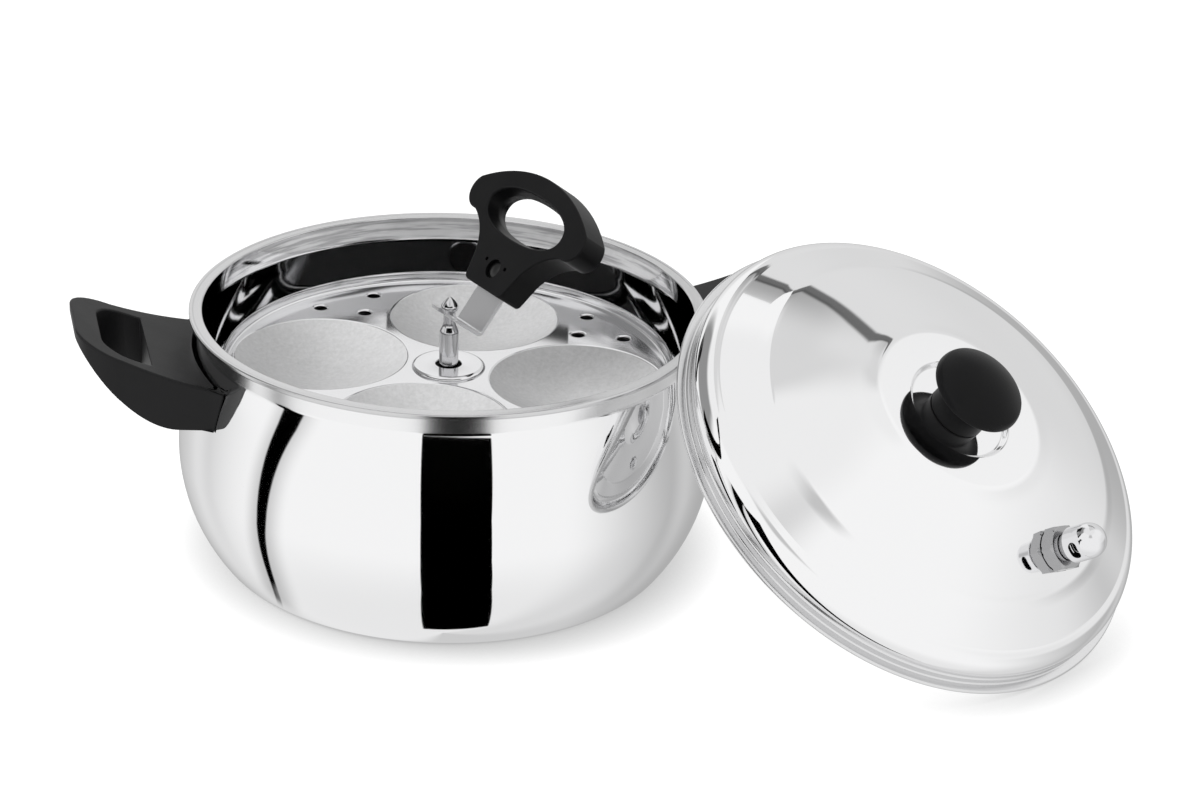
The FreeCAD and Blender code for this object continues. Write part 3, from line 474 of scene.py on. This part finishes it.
for level, steps in PLATE_LEVELS:
    boss = PLATE_LEVEL - steps * PLATE_PITCH + BOSS_HEIGHT
    sleeve_top = boss - PLATE_THICKNESS
    sleeve = closed_turn([(SLEEVE_BORE, sleeve_low), (SLEEVE_RADIUS, sleeve_low),
                          (SLEEVE_RADIUS, sleeve_top), (SLEEVE_MOUTH, sleeve_top),
                          (SLEEVE_BORE, sleeve_top - 5)], None,
                         {0: 0.3, 1: 0.4, 2: 0.4}, closed=True, steps=64)
    piece(f"sleeve_{level}", sleeve, "stand", [f"spacer_{level}"], [sleeve_shaded_steel])
    sleeve_low = boss

# Idli plates: pressed sheet with a raised rim, a boss round the stem, four shallow cups with a
# blasted finish, and steam holes between them. The flats are mirror bright.
PLATE_TURN = math.radians(82)
PLATE_STAGGER = math.radians(45)
PLATE_RADIUS = 95
RIM_HEIGHT = 5.5
BOSS_BORE = 5.65
BOSS_RADIUS = 14.2
CUP_RADIUS = 36.8
CUP_DEPTH = 12
CUP_RING = 54.5
CUP_BALL = (CUP_RADIUS ** 2 + CUP_DEPTH ** 2) / (2 * CUP_DEPTH)
HOLE_RADIUS = 3.5
HOLE_PLACES = ((82, -9.5), (82, 9.5), (66.5, 0))


def blasted_steel(name, colour):
    """Glass-blasted sheet: an even grey grain of tiny dents, without a clear reflection."""
    material, surface, place = new_finish(name)
    grain = noise(place, 520, 3, 0.75)
    patch = noise(place, 40, 3)
    tone = blend(grain * 0.7 + patch * 0.3, (*[c * 0.62 for c in colour], 1),
                 (*[c * 1.3 for c in colour], 1))
    feed(surface, {"Base Color": tone, "Metallic": 0.25, "Roughness": 0.42 + grain * 0.16,
                   "Normal": bump(grain, 0.00012, 0.5)})
    return material


plate_steel = polished_steel("plate_mirror_steel", (0.8, 0.8, 0.81, 1), 0.1, 0.00002)
cup_steel = blasted_steel("cup_blasted_steel", (0.5, 0.5, 0.503))


def sheet_turn(angle, ring):
    """A place on the plate at a radius, turned about its middle."""
    return Matrix.Rotation(angle, 4, "Z") @ Matrix.Translation((ring, 0, 0))


for level, steps in PLATE_LEVELS:
    bm = bmesh.new()
    turned(bm, [(PLATE_RADIUS - 3.3, 0), (PLATE_RADIUS - 1, 0), (PLATE_RADIUS - 1, RIM_HEIGHT)],
           None, {1: 2.2}, steps=FINE_TURN_STEPS)
    turned(bm, [(BOSS_BORE, BOSS_HEIGHT), (BOSS_RADIUS, BOSS_HEIGHT), (BOSS_RADIUS + 0.4, 0),
                (BOSS_RADIUS + 2.2, 0)], None, {1: 0.6, 2: 0.5}, steps=128)
    for k in range(4):
        cup = turned(bm, [(CUP_RADIUS + 0.2, 0), (CUP_RADIUS, 0), (0, -CUP_DEPTH)], {1: -CUP_BALL},
                     {1: 0.18}, steps=128, place=sheet_turn(math.pi / 2 * k, CUP_RING))
        for face in cup:
            face.material_index = int(face.calc_center_median().z < -0.2)
        for ring, spread in HOLE_PLACES:
            turned(bm, [(HOLE_RADIUS + 0.6, 0), (HOLE_RADIUS + 0.15, 0), (HOLE_RADIUS, -0.2)], None,
                   {1: 0.1}, steps=48,
                   place=sheet_turn(math.pi / 2 * k + math.pi / 4 + math.radians(spread), ring))
    flat = [edge for edge in bm.edges
            if edge.is_boundary and all(abs(vert.co.z) < 0.0001 for vert in edge.verts)]
    bmesh.ops.triangle_fill(bm, edges=flat, use_beauty=True, normal=(0, 0, 1))
    bmesh.ops.recalc_face_normals(bm, faces=bm.faces)
    stagger = PLATE_STAGGER if level == "middle" else 0
    place = (Matrix.Translation((0, 0, PLATE_LEVEL - steps * PLATE_PITCH))
             @ Matrix.Rotation(PLATE_TURN + stagger, 4, "Z"))
    plate = piece(f"idli_plate_{level}_sheet", bm, f"plate_{level}",
                  [f"idli_plate_{level}"], [plate_steel, cup_steel], place, even=False)
    sheet = plate.modifiers.new("sheet", "SOLIDIFY")
    sheet.thickness = PLATE_THICKNESS * MILLIMETRE
    sheet.offset = -1
    even_normals(plate)

# Lifter: a satin steel blade, forked to hook under the stem's head and bent up into a bakelite
# grip with a finger hole. A countersunk screw in a recess holds the two together.
LIFTER_HEIGHT = 101.8
LIFTER_TURN = math.radians(34.9)
LIFTER_TILT = math.radians(37)
LIFTER = (Matrix.Translation((0, 0, LIFTER_HEIGHT)) @ Matrix.Rotation(LIFTER_TURN, 4, "Z")
          @ Matrix.Rotation(LIFTER_TILT, 4, "Y"))
BLADE_HALF = 9.45
BLADE_THICKNESS = 1.5
BLADE_BEND = 1.75
PRONG = 4.8
PRONG_CORNER = 2.5
LEG = 12
TANG_TOP = 36
FORK_HALF = 2.85
FORK_END = 1.28
GRIP_HALF = 6
HOLE_MIDDLE = 51
HOLE_SQUARENESS = 2.25
LIFTER_SCREW = 26.3
DOT_RADIUS = 0.9


def satin_steel(name, colour):
    """Sheet with a fine lengthwise grind: soft streaked reflections."""
    material, surface, place = new_finish(name)
    along = place.node("ShaderNodeMapping", values={
        "Vector": place, "Rotation": (0.3, 0.65, 0.6), "Scale": (60, 900, 60)})
    streak = noise(along, 4, 3)
    feed(surface, {"Base Color": colour, "Metallic": 1, "Roughness": 0.24 + streak * 0.16,
                   "Normal": bump(streak, 0.00002)})
    return material


blade_steel = satin_steel("blade_satin_steel", (0.8, 0.8, 0.81, 1))
bm = bmesh.new()
start = LEG - BLADE_BEND
flat = path([(start, -BLADE_HALF), (start, BLADE_HALF), (PRONG_CORNER - PRONG, BLADE_HALF),
             (-PRONG, BLADE_HALF - PRONG_CORNER), (-PRONG, FORK_HALF), (FORK_END, FORK_HALF),
             (FORK_END, -FORK_HALF), (-PRONG, -FORK_HALF), (-PRONG, PRONG_CORNER - BLADE_HALF),
             (PRONG_CORNER - PRONG, -BLADE_HALF)],
            {2: PRONG_CORNER, 5: -FORK_HALF, 8: PRONG_CORNER})
verts = [bm.verts.new((x, y, 0)) for x, y in flat]
bm.faces.new(verts)
fold = bm.edges.get((verts[0], verts[1]))
bent = bmesh.ops.spin(bm, geom=[fold, verts[0], verts[1]], cent=(start, 0, BLADE_BEND),
                      axis=(0, -1, 0), angle=math.pi / 2, steps=6)["geom_last"]
bent_edges = [item for item in bent if isinstance(item, bmesh.types.BMEdge)]
risen = bmesh.ops.extrude_edge_only(bm, edges=bent_edges)["geom"]
bmesh.ops.translate(bm, vec=(0, 0, TANG_TOP - BLADE_BEND),
                    verts=[item for item in risen if isinstance(item, bmesh.types.BMVert)])
bmesh.ops.recalc_face_normals(bm, faces=bm.faces)
blade = piece("lifter_blade_strip", bm, "lifter", ["lifter_blade"], [blade_steel],
              LIFTER, even=False)
strip = blade.modifiers.new("sheet", "SOLIDIFY")
strip.thickness = BLADE_THICKNESS * MILLIMETRE
strip.offset = 0
edges = blade.modifiers.new("edges", "BEVEL")
edges.width = 0.3 * MILLIMETRE
edges.segments = 3
even_normals(blade)


def squared_oval(angle, length, width):
    """Point of the finger hole, a superellipse, in the direction of an angle."""
    along, across = math.cos(angle), math.sin(angle)
    scale = (abs(along / length) ** HOLE_SQUARENESS
             + abs(across / width) ** HOLE_SQUARENESS) ** (-1 / HOLE_SQUARENESS)
    return along * scale, across * scale


grip_outline = path(
    [(-11.4, 17), (11.4, 17), (14.4, 19.4), (17, 29), (33, 44), (40, 57.5), (-40, 57.5), (-33, 44),
     (-17, 29), (-14.4, 19.4)],
    {1: 3, 3: -26, 4: 8, 5: 70.3, 6: 8, 7: -26, 9: 3}, spacing=1.6)


def grip_loop(depth, hole=None):
    """The grip's outline at a depth, or the finger hole's, seen from the hole's middle."""
    loop = []
    for y, z in grip_outline:
        if hole:
            y, z = squared_oval(math.atan2(z - HOLE_MIDDLE, y), *hole)
            z += HOLE_MIDDLE
        loop.append((LEG + depth, y, z))
    return loop


grip_black = black_bakelite("grip_bakelite", (0.0035, 0.0035, 0.0037), 0.26, 0.14)
hole_mouth, hole_waist = (27, 10.6), (25.2, 9)
bm = ring_shape([grip_loop(-GRIP_HALF), grip_loop(-GRIP_HALF, hole_mouth), grip_loop(1, hole_waist),
                 grip_loop(GRIP_HALF, hole_mouth), grip_loop(GRIP_HALF)],
                (3.2, 0.7, 1.5, 0.7, 3.2), 6)
grip = piece("lifter_grip_moulding", bm, "lifter", ["lifter_grip"], [grip_black],
             LIFTER, even=False)


def carve(made, cutters):
    """Cuts closed shapes out of a piece, in its own millimetre frame, and keeps the result."""
    for bm, place in cutters:
        bmesh.ops.transform(bm, matrix=Matrix.Scale(MILLIMETRE, 4) @ place, verts=bm.verts)
        mesh = bpy.data.meshes.new("cutter")
        bm.to_mesh(mesh)
        bm.free()
        cutter = bpy.data.objects.new("cutter", mesh)
        bpy.context.scene.collection.objects.link(cutter)
        cut_out = made.modifiers.new("cut", "BOOLEAN")
        cut_out.object = cutter
        cut_out.solver = "EXACT"
        bpy.context.view_layer.update()
        cut = bpy.data.meshes.new_from_object(
            made.evaluated_get(bpy.context.evaluated_depsgraph_get()))
        made.modifiers.remove(cut_out)
        made.data = cut
        bpy.data.objects.remove(cutter)
    made.data.set_sharp_from_angle(angle=math.radians(40))
    even_normals(made)


def grip_face(y, z):
    """Frame on the grip's front face, its axis out of the face."""
    return (LIFTER @ Matrix.Translation((LEG - GRIP_HALF, y, z))
            @ Matrix.Rotation(-math.pi / 2, 4, "Y"))


cutters = [(closed_turn([(0, -1.8), (4.2, -1.8), (4.2, 2), (0, 2)], steps=48),
            grip_face(0, LIFTER_SCREW))]
for across in (7, -7):
    dot = closed_turn([(0, -2), (DOT_RADIUS, -2), (DOT_RADIUS, 2), (0, 2)], steps=24)
    cutters.append((dot, grip_face(across, 28.5)))
carve(grip, cutters)
screw_black = polished_steel("screw_black_oxide", (0.06, 0.06, 0.06, 1), 0.32)
screw = closed_turn([(0, -11), (2, -11), (2, -2), (3.7, -2), (3.7, -1.4), (0, -0.6)], {4: 9},
                    {3: 0.2, 4: 0.3}, steps=48)
piece("lifter_screw_head", screw, "lifter", ["lifter_screw"], [screw_black],
      grip_face(0, LIFTER_SCREW))

# Lid: spun from the same sheet, with a flange, a rounded shoulder, a stepped dome and a plateau
# with a well for the knob. It stands on the floor and leans on the pot's lip.
LID_LEAN = math.radians(35.8)
LID_TURN = math.radians(43.4)
LID_SPIN = math.radians(5)
LID_OFFSET = 101.7
LID_RADIUS = 106
LID_WALL = 1
LID_WALL_RADIUS = 102
LID_WALL_TOP = 7
FLANGE_THICKNESS = 1.6
BEAD_HEIGHT = 5
SHOULDER_RADIUS = 96
SHOULDER_TOP = 17.6
FLOOR_GAP = 0.25
LEAN_GAP = 0.8
DOME_RADIUS = 195
STEP_RADIUS = 80.8
STEP_HEIGHT = 27
RING_RADIUS = 38
RING_RISE = 1
WELL_RADIUS = 22.5
WELL_DEPTH = 2.5
flange_height = LID_RADIUS * math.sin(LID_LEAN) + FLOOR_GAP
climb = ((POT_HEIGHT + LIP_UNDER) / 2 - flange_height) / math.sin(LID_LEAN)
beside = -math.sqrt(LID_RADIUS ** 2 - climb ** 2)
away = (math.sqrt((LIP_OUTSIDE + LEAN_GAP) ** 2 - (LID_OFFSET + beside) ** 2)
        + climb * math.cos(LID_LEAN))
LID = (Matrix.Rotation(-LID_TURN, 4, "Z") @ Matrix.Translation((away, LID_OFFSET, flange_height))
       @ Matrix.Rotation(LID_LEAN, 4, "Y") @ Matrix.Rotation(LID_SPIN, 4, "Z"))
DOME_CENTRE = STEP_HEIGHT - math.sqrt(DOME_RADIUS ** 2 - STEP_RADIUS ** 2)


def dome(radius, inward=0):
    """Height of the lid's dome at a radius, inward from its outer skin."""
    return DOME_CENTRE + math.sqrt((DOME_RADIUS - inward) ** 2 - radius ** 2)


plateau = dome(RING_RADIUS) + RING_RISE
well = plateau - WELL_DEPTH


def spun_lid_steel(name):
    """The lid's sheet: a mirror dome, satin on the wall and flange, fine rings about its axis."""
    material, surface, place = new_finish(name)
    own = place.node("ShaderNodeMapping", {"vector_type": "TEXTURE"}, {
        "Vector": place, "Location": LID.to_translation() * MILLIMETRE, "Rotation": LID.to_euler()})
    x, y, z = parts(own)
    radius = (x * x + y * y) ** 0.5
    satin = 1 - step(z, (LID_WALL_TOP - 0.4) * MILLIMETRE, (LID_WALL_TOP + 0.6) * MILLIMETRE)
    rings = noise(joined(radius, radius, z), 900, 3, 0.6)
    wipe = noise(place, 34, 4, 0.62)
    feed(surface, {"Base Color": blend(satin, STEEL, (0.74, 0.74, 0.745, 1)), "Metallic": 1,
                   "Roughness": 0.02 + wipe * 0.04 + satin * 0.14,
                   "Normal": bump(noise(place, 22, 1) + rings * (satin * 0.3 + 0.04), 0.00001)})
    return material


lid_steel = spun_lid_steel("lid_mirror_steel")
lid = closed_turn(
    [(0, well), (WELL_RADIUS - 1.3, well), (WELL_RADIUS, plateau), (RING_RADIUS - 2, plateau),
     (RING_RADIUS + 1, plateau - 0.6), (RING_RADIUS + 7, dome(RING_RADIUS + 7)),
     (STEP_RADIUS - 2.8, dome(STEP_RADIUS - 2.8)), (STEP_RADIUS + 0.2, STEP_HEIGHT - 0.45),
     (STEP_RADIUS + 3.7, STEP_HEIGHT - 2.68), (SHOULDER_RADIUS, SHOULDER_TOP),
     (LID_WALL_RADIUS, LID_WALL_TOP), (LID_WALL_RADIUS, BEAD_HEIGHT + 0.6),
     (LID_WALL_RADIUS + 0.6, BEAD_HEIGHT), (LID_WALL_RADIUS, BEAD_HEIGHT - 0.6),
     (LID_WALL_RADIUS, FLANGE_THICKNESS), (LID_RADIUS, FLANGE_THICKNESS), (LID_RADIUS, 0),
     (LID_WALL_RADIUS - LID_WALL, 0), (LID_WALL_RADIUS - LID_WALL, LID_WALL_TOP),
     (SHOULDER_RADIUS, SHOULDER_TOP - 1.15), (STEP_RADIUS + 1.2, STEP_HEIGHT - 2.35),
     (STEP_RADIUS, dome(STEP_RADIUS, LID_WALL)), (RING_RADIUS, dome(RING_RADIUS, LID_WALL)),
     (RING_RADIUS - 1, plateau - LID_WALL), (WELL_RADIUS + 1, plateau - LID_WALL),
     (WELL_RADIUS - 0.3, well - LID_WALL), (0, well - LID_WALL)],
    {3: -8.1, 4: 42, 5: -DOME_RADIUS, 6: -17.3, 7: 51.5, 9: -8.05, 18: 7,
     21: DOME_RADIUS - LID_WALL},
    {1: 0.7, 2: 0.7, 9: 0.5, 11: 0.25, 12: 0.25, 13: 0.25, 14: 0.8, 15: 0.75, 16: 0.75, 19: 0.4,
     20: 0.6}, steps=FINE_TURN_STEPS)
piece("lid_shell_polished", lid, "lid", ["lid_shell"], [lid_steel], LID)

# Knob: a moulded bakelite mushroom with a waist, satin black. It stands in the lid's well, and a
# screw from under the lid holds it by a brass insert.
KNOB = LID @ Matrix.Translation((0, 0, well))
knob_black = black_bakelite("knob_bakelite", (0.004, 0.004, 0.0043), 0.27, 0.12)
knob = closed_turn([(0, 0), (12.2, 0), (11.6, 8), (19.3, 14.5), (19.3, 17.5), (0, 25)],
                   {2: -7.7, 4: 28.6}, {1: 0.8, 3: 0.8, 4: 2.4}, steps=128)
piece("knob_mushroom", knob, "lid", ["lid_knob"], [knob_black], KNOB)

# Steam vent: a threaded tube through the lid with a washer under it, a hexagonal nut on top and
# a slotted, domed cap that turns on the tube. All are chromed brass.
VENT_RING = 66.7
VENT = (LID @ Matrix.Translation((VENT_RING, 0, dome(VENT_RING)))
        @ Matrix.Rotation(math.asin(VENT_RING / DOME_RADIUS), 4, "Y"))
NUT_LOW, NUT_HIGH = 0.1, 6.1
NUT_FLATS = 17
NUT_CORNER = 9.9
NUT_FACE = 8.6
NUT_CHAMFER = 0.75
CAP_LOW, CAP_HIGH = 9.1, 24.2
TUBE_END = 11.7
SLOT_MIDDLE = 14
SLOT_TURN = math.radians(8)
NUT_TURN = math.radians(12)
CAP_RADIUS = 7.2
CAP_WALL = 1.2
TUBE_RADIUS = 5
TUBE_BORE = 2.5
TUBE_FLANGE = 8.5
BORE_GAP = 0.3
THREAD_PITCH = 0.75
chrome = polished_steel("vent_chrome", (0.82, 0.82, 0.83, 1), 0.03)
# The nut's chrome is darker than the cap's: painted shade standing in for the dark reflections on
# its facets.
nut_shaded_chrome = polished_steel("nut_chrome_painted_shade", (0.42, 0.42, 0.425, 1), 0.14)
# The cap's inside and its slot walls get a near-black colour: painted shade for the dark hollow
# behind the slot.
vent_inside_shade = polished_steel("vent_inside_painted_shade", (0.02, 0.02, 0.02, 1), 0.5)
ridges = []
height = NUT_HIGH - 0.6
while height < CAP_LOW + 0.6:
    ridges += [(TUBE_RADIUS + 0.25, height), (TUBE_RADIUS - 0.2, height + THREAD_PITCH / 2)]
    height += THREAD_PITCH
tube = closed_turn([(TUBE_BORE, -3.6), (TUBE_FLANGE, -3.6), (TUBE_FLANGE, -2.1),
                    (TUBE_RADIUS, -2.1)] + ridges
                   + [(TUBE_RADIUS, CAP_LOW + 1), (TUBE_RADIUS, TUBE_END), (TUBE_BORE, TUBE_END)],
                   None, {1: 0.4, 2: 0.4}, closed=True, steps=72)
piece("vent_tube_threaded", tube, "lid", ["vent_stem"], [chrome], VENT)

bm = closed_turn([(TUBE_RADIUS + BORE_GAP, NUT_LOW), (NUT_FACE, NUT_LOW),
                  (NUT_CORNER, NUT_LOW + NUT_CHAMFER), (NUT_CORNER, NUT_HIGH - NUT_CHAMFER),
                  (NUT_FACE, NUT_HIGH), (TUBE_RADIUS + 0.9, NUT_HIGH),
                  (TUBE_RADIUS + BORE_GAP, NUT_HIGH - 0.6)], None, {4: 0.15}, closed=True, steps=144)
for vert in bm.verts:
    turn = math.atan2(vert.co.y, vert.co.x) % (math.pi / 3) - math.pi / 6
    limit = NUT_FLATS / 2 / math.cos(turn)
    reach = math.hypot(vert.co.x, vert.co.y)
    if reach > limit:
        vert.co.x *= limit / reach
        vert.co.y *= limit / reach
nut = piece("vent_nut_hexagon", bm, "lid", ["vent_nut"], [nut_shaded_chrome],
            VENT @ Matrix.Rotation(NUT_TURN, 4, "Z"), even=False)
nut.data.set_sharp_from_angle(angle=math.radians(25))
even_normals(nut)

cap = closed_turn(
    [(TUBE_RADIUS + BORE_GAP, CAP_LOW), (CAP_RADIUS, CAP_LOW), (CAP_RADIUS, CAP_HIGH - CAP_RADIUS),
     (0, CAP_HIGH), (0, CAP_HIGH - CAP_WALL), (CAP_RADIUS - CAP_WALL, CAP_HIGH - CAP_RADIUS),
     (CAP_RADIUS - CAP_WALL, TUBE_END), (TUBE_RADIUS + BORE_GAP, TUBE_END)],
    {2: CAP_RADIUS, 4: CAP_WALL - CAP_RADIUS}, {0: 0.3, 1: 0.5}, closed=True, steps=96)
# Faces inside the cap take the second finish, the painted shade.
for face in cap.faces:
    x, y, z = face.calc_center_median()
    reach = math.hypot(x, y, max(z - CAP_HIGH + CAP_RADIUS, 0))
    face.material_index = int(reach < CAP_RADIUS - CAP_WALL / 2 and z > CAP_LOW + 0.4)
whistle = piece("vent_cap_slotted", cap, "whistle", ["vent_cap"],
                [chrome, vent_inside_shade], VENT, even=False)
slot = bmesh.new()
ends = path([(1.5, SLOT_MIDDLE - 2), (1.5, SLOT_MIDDLE + 2), (-1.5, SLOT_MIDDLE + 2),
             (-1.5, SLOT_MIDDLE - 2)], {0: 2, 2: 2})
rings = lofted(slot, [[(x, -12, z) for x, z in ends], [(x, 12, z) for x, z in ends]])
bmesh.ops.bridge_loops(slot, edges=rings[0] + rings[1])
for ring in rings:
    bmesh.ops.contextual_create(slot, geom=ring)
bmesh.ops.recalc_face_normals(slot, faces=slot.faces)
# The slot's cut walls take the painted shade too.
for face in slot.faces:
    face.material_index = 1
carve(whistle, [(slot, VENT @ Matrix.Rotation(SLOT_TURN, 4, "Z"))])

# Hidden fixings: the washers, the stand's nut, the handles' lugs, and the knob's screw and insert
# keep their CAD shapes. They are plain turned steel, and the insert is brass.
brass = polished_steel("insert_brass", (0.72, 0.52, 0.22, 1), 0.25)
for name in ("handle_bracket_left", "handle_bracket_right", "stand_nut", "knob_washer",
             "knob_screw", "vent_washer", "knob_insert"):
    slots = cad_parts[name].material_slots
    slots[0].material = brass if name == "knob_insert" else plain_steel

# Studio: a pale floor with a painted contact shadow, a white room and two soft lamps. Polished
# metal also sees the room's grey walls and two black cards, which put the dark strip on the belly
# and the black band in the neck.
CARD_DISTANCE = 200
ARC_CARD_RADIUS = 130
ARC_CARD_START = math.radians(-80)
ARC_CARD_SWEEP = math.radians(126)
floor_mesh = bpy.data.meshes.new("floor")
bm = bmesh.new()
bmesh.ops.create_grid(bm, x_segments=1, y_segments=1, size=4)
bm.to_mesh(floor_mesh)
bm.free()
floor = bpy.data.objects.new("floor", floor_mesh)
bpy.context.scene.collection.objects.link(floor)
floor_paint, floor_surface, floor_place = new_finish("floor_paint")
# Painted shadow: the floor's glow turns grey where ambient occlusion finds the pieces close by, a
# contact shadow painted into its emission colour.
open_sky_for_painted_shadow = floor_place.node("ShaderNodeAmbientOcclusion", {"samples": 8}, {"Distance": 0.02}, "AO")
feed(floor_surface, {"Base Color": (0.16, 0.16, 0.16, 1), "Roughness": 0.9,
                     "Specular IOR Level": 0,
                     "Emission Color": blend(open_sky_for_painted_shadow, (0.4, 0.4, 0.4, 1), (1, 1, 1, 1)),
                     "Emission Strength": 0.94})
floor_mesh.materials.append(floor_paint)
floor.visible_glossy = False

card_black, card_surface, _ = new_finish("card_black")
feed(card_surface, {"Base Color": (0, 0, 0, 1), "Roughness": 1, "Specular IOR Level": 0})


def dark_card(name, bm):
    """A matt black card that only polished metal sees, as a dark edge in its reflections."""
    mesh = bpy.data.meshes.new(name)
    bmesh.ops.scale(bm, vec=(MILLIMETRE, MILLIMETRE, MILLIMETRE), verts=bm.verts)
    bm.to_mesh(mesh)
    bm.free()
    mesh.materials.append(card_black)
    card = bpy.data.objects.new(name, mesh)
    bpy.context.scene.collection.objects.link(card)
    card.visible_camera = card.visible_diffuse = card.visible_shadow = False


front = bmesh.new()
corners = [(-16, 120), (-13, 40), (-13, 0), (-15, -75), (-28, -267), (-112, -1500),
           (308, -1500), (116, -348), (74, -90), (64, -6), (61.6, 40), (64, 120)]
front.faces.new([front.verts.new((x, -CARD_DISTANCE, z)) for x, z in corners])
dark_card("front_card", front)
arc = bmesh.new()
post_x = ARC_CARD_RADIUS * math.sin(ARC_CARD_START)
post_y = -ARC_CARD_RADIUS * math.cos(ARC_CARD_START)
post = [arc.verts.new((post_x, post_y, z)) for z in (150, 212)]
post.append(arc.edges.new(post))
bmesh.ops.spin(arc, geom=post, cent=(0, 0, 0), axis=(0, 0, 1), angle=ARC_CARD_SWEEP, steps=32)
dark_card("viewer_card", arc)

# The room as a reflection shows it: white, times one less than each grey part. Directions are
# east, north and high, and the azimuth is 0 towards the viewer and grows to the east.
world = bpy.data.worlds.new("white_room")
bpy.context.scene.world = world
world.use_nodes = True
nodes = world.node_tree.nodes
east, north, high = parts(Shade(nodes.new("ShaderNodeTexCoord").outputs["Generated"]))
azimuth = east.operate("ARCTAN2", east, 0 - north)
lean = east.operate("DIVIDE", east, math.cos(VIEW_ELEVATION) - north)
below = (1 - step(high, 0.3, 0.34)) * (1 - step(north, 0.35, 0.6))
bow = high + 0.45
aside = east.operate("DIVIDE", east + 0.11, 0.9 - north) + 0.741 - 0.36 * bow * bow
aside = aside.operate("ABSOLUTE", aside)
side_gap = 1 - step(aside - 0.056 - 0.046 * high, -0.006, 0.006)
side_gap = side_gap * step(high, -0.83, -0.78)
side_halo = 0.35 * (1 - step(aside, 0.02, 0.17))
low = (1 - step(high, -0.12, 0.08)) * (1 - step(north, 0.35, 0.6))
side_tone = (0.4 * step(lean, 0.5, 1.6) + 0.28 * step(0 - lean, 0.8, 1.8)) * low
past_north = (1 - step(azimuth, -3.05, -2.5)) * (1 - step(high, 0.25, 0.5))
right = step(azimuth, 0.9, 1.6) + past_north
far = step(azimuth, 1.9, 2.4) + past_north
horizon = (0.14 + 0.12 * far) * right * (1 - step(high, 0.2, 0.6) * (1 - 0.8 * far))
left_wall = 0.7 * band(azimuth, -2.6, -1.5, 0.12) * band(high, 0.22, 0.85, 0.06)
ridge = high - 0.7986 + 0.196 * (azimuth - 2.41)
beam = step(azimuth, 2.35, 2.45) * 0.8 * band(ridge, -0.022, 0.022, 0.008)
beam_shade = step(azimuth, 2.5, 2.9) * 0.5 * step(ridge, 0, 0.02) * (1 - step(ridge, 0.02, 0.2))
corner = 0.4 * band(azimuth, -0.2, 0.31, 0.12) * band(high, 0.68, 0.88, 0.06)
ceiling = 0.07 * step(high, 0.85, 0.93)
floor_tone = 0.12 * step(0 - high, 0.4, 0.95)
behind = 0.4 * step(north, 0.3, 0.85) * (1 - step(high, -0.2, 0.1))
room = (1 - below * side_gap) * (1 - below * side_halo)
for shade in (side_tone, horizon, left_wall, beam, beam_shade, corner, ceiling, floor_tone, behind):
    room = room * (1 - shade)
light_path = nodes.new("ShaderNodeLightPath")
glossy = Shade(light_path.outputs["Is Glossy Ray"])
feed(nodes["Background"], {"Strength": 1 - glossy * (1 - room), "Color": (1, 1, 1, 1)})

for name, place, size, power in (("key_lamp", (-0.9, -0.25, 0.75), 0.6, 14),
                                 ("fill_lamp", (1.2, -0.9, 1.3), 2, 4)):
    lamp = bpy.data.lights.new(name, "AREA")
    lamp.size = size
    lamp.energy = power
    softbox = bpy.data.objects.new(name, lamp)
    softbox.location = place
    softbox.rotation_euler = (VIEW_TARGET - Vector(place)).to_track_quat("-Z", "Y").to_euler()
    softbox.visible_glossy = False
    bpy.context.scene.collection.objects.link(softbox)
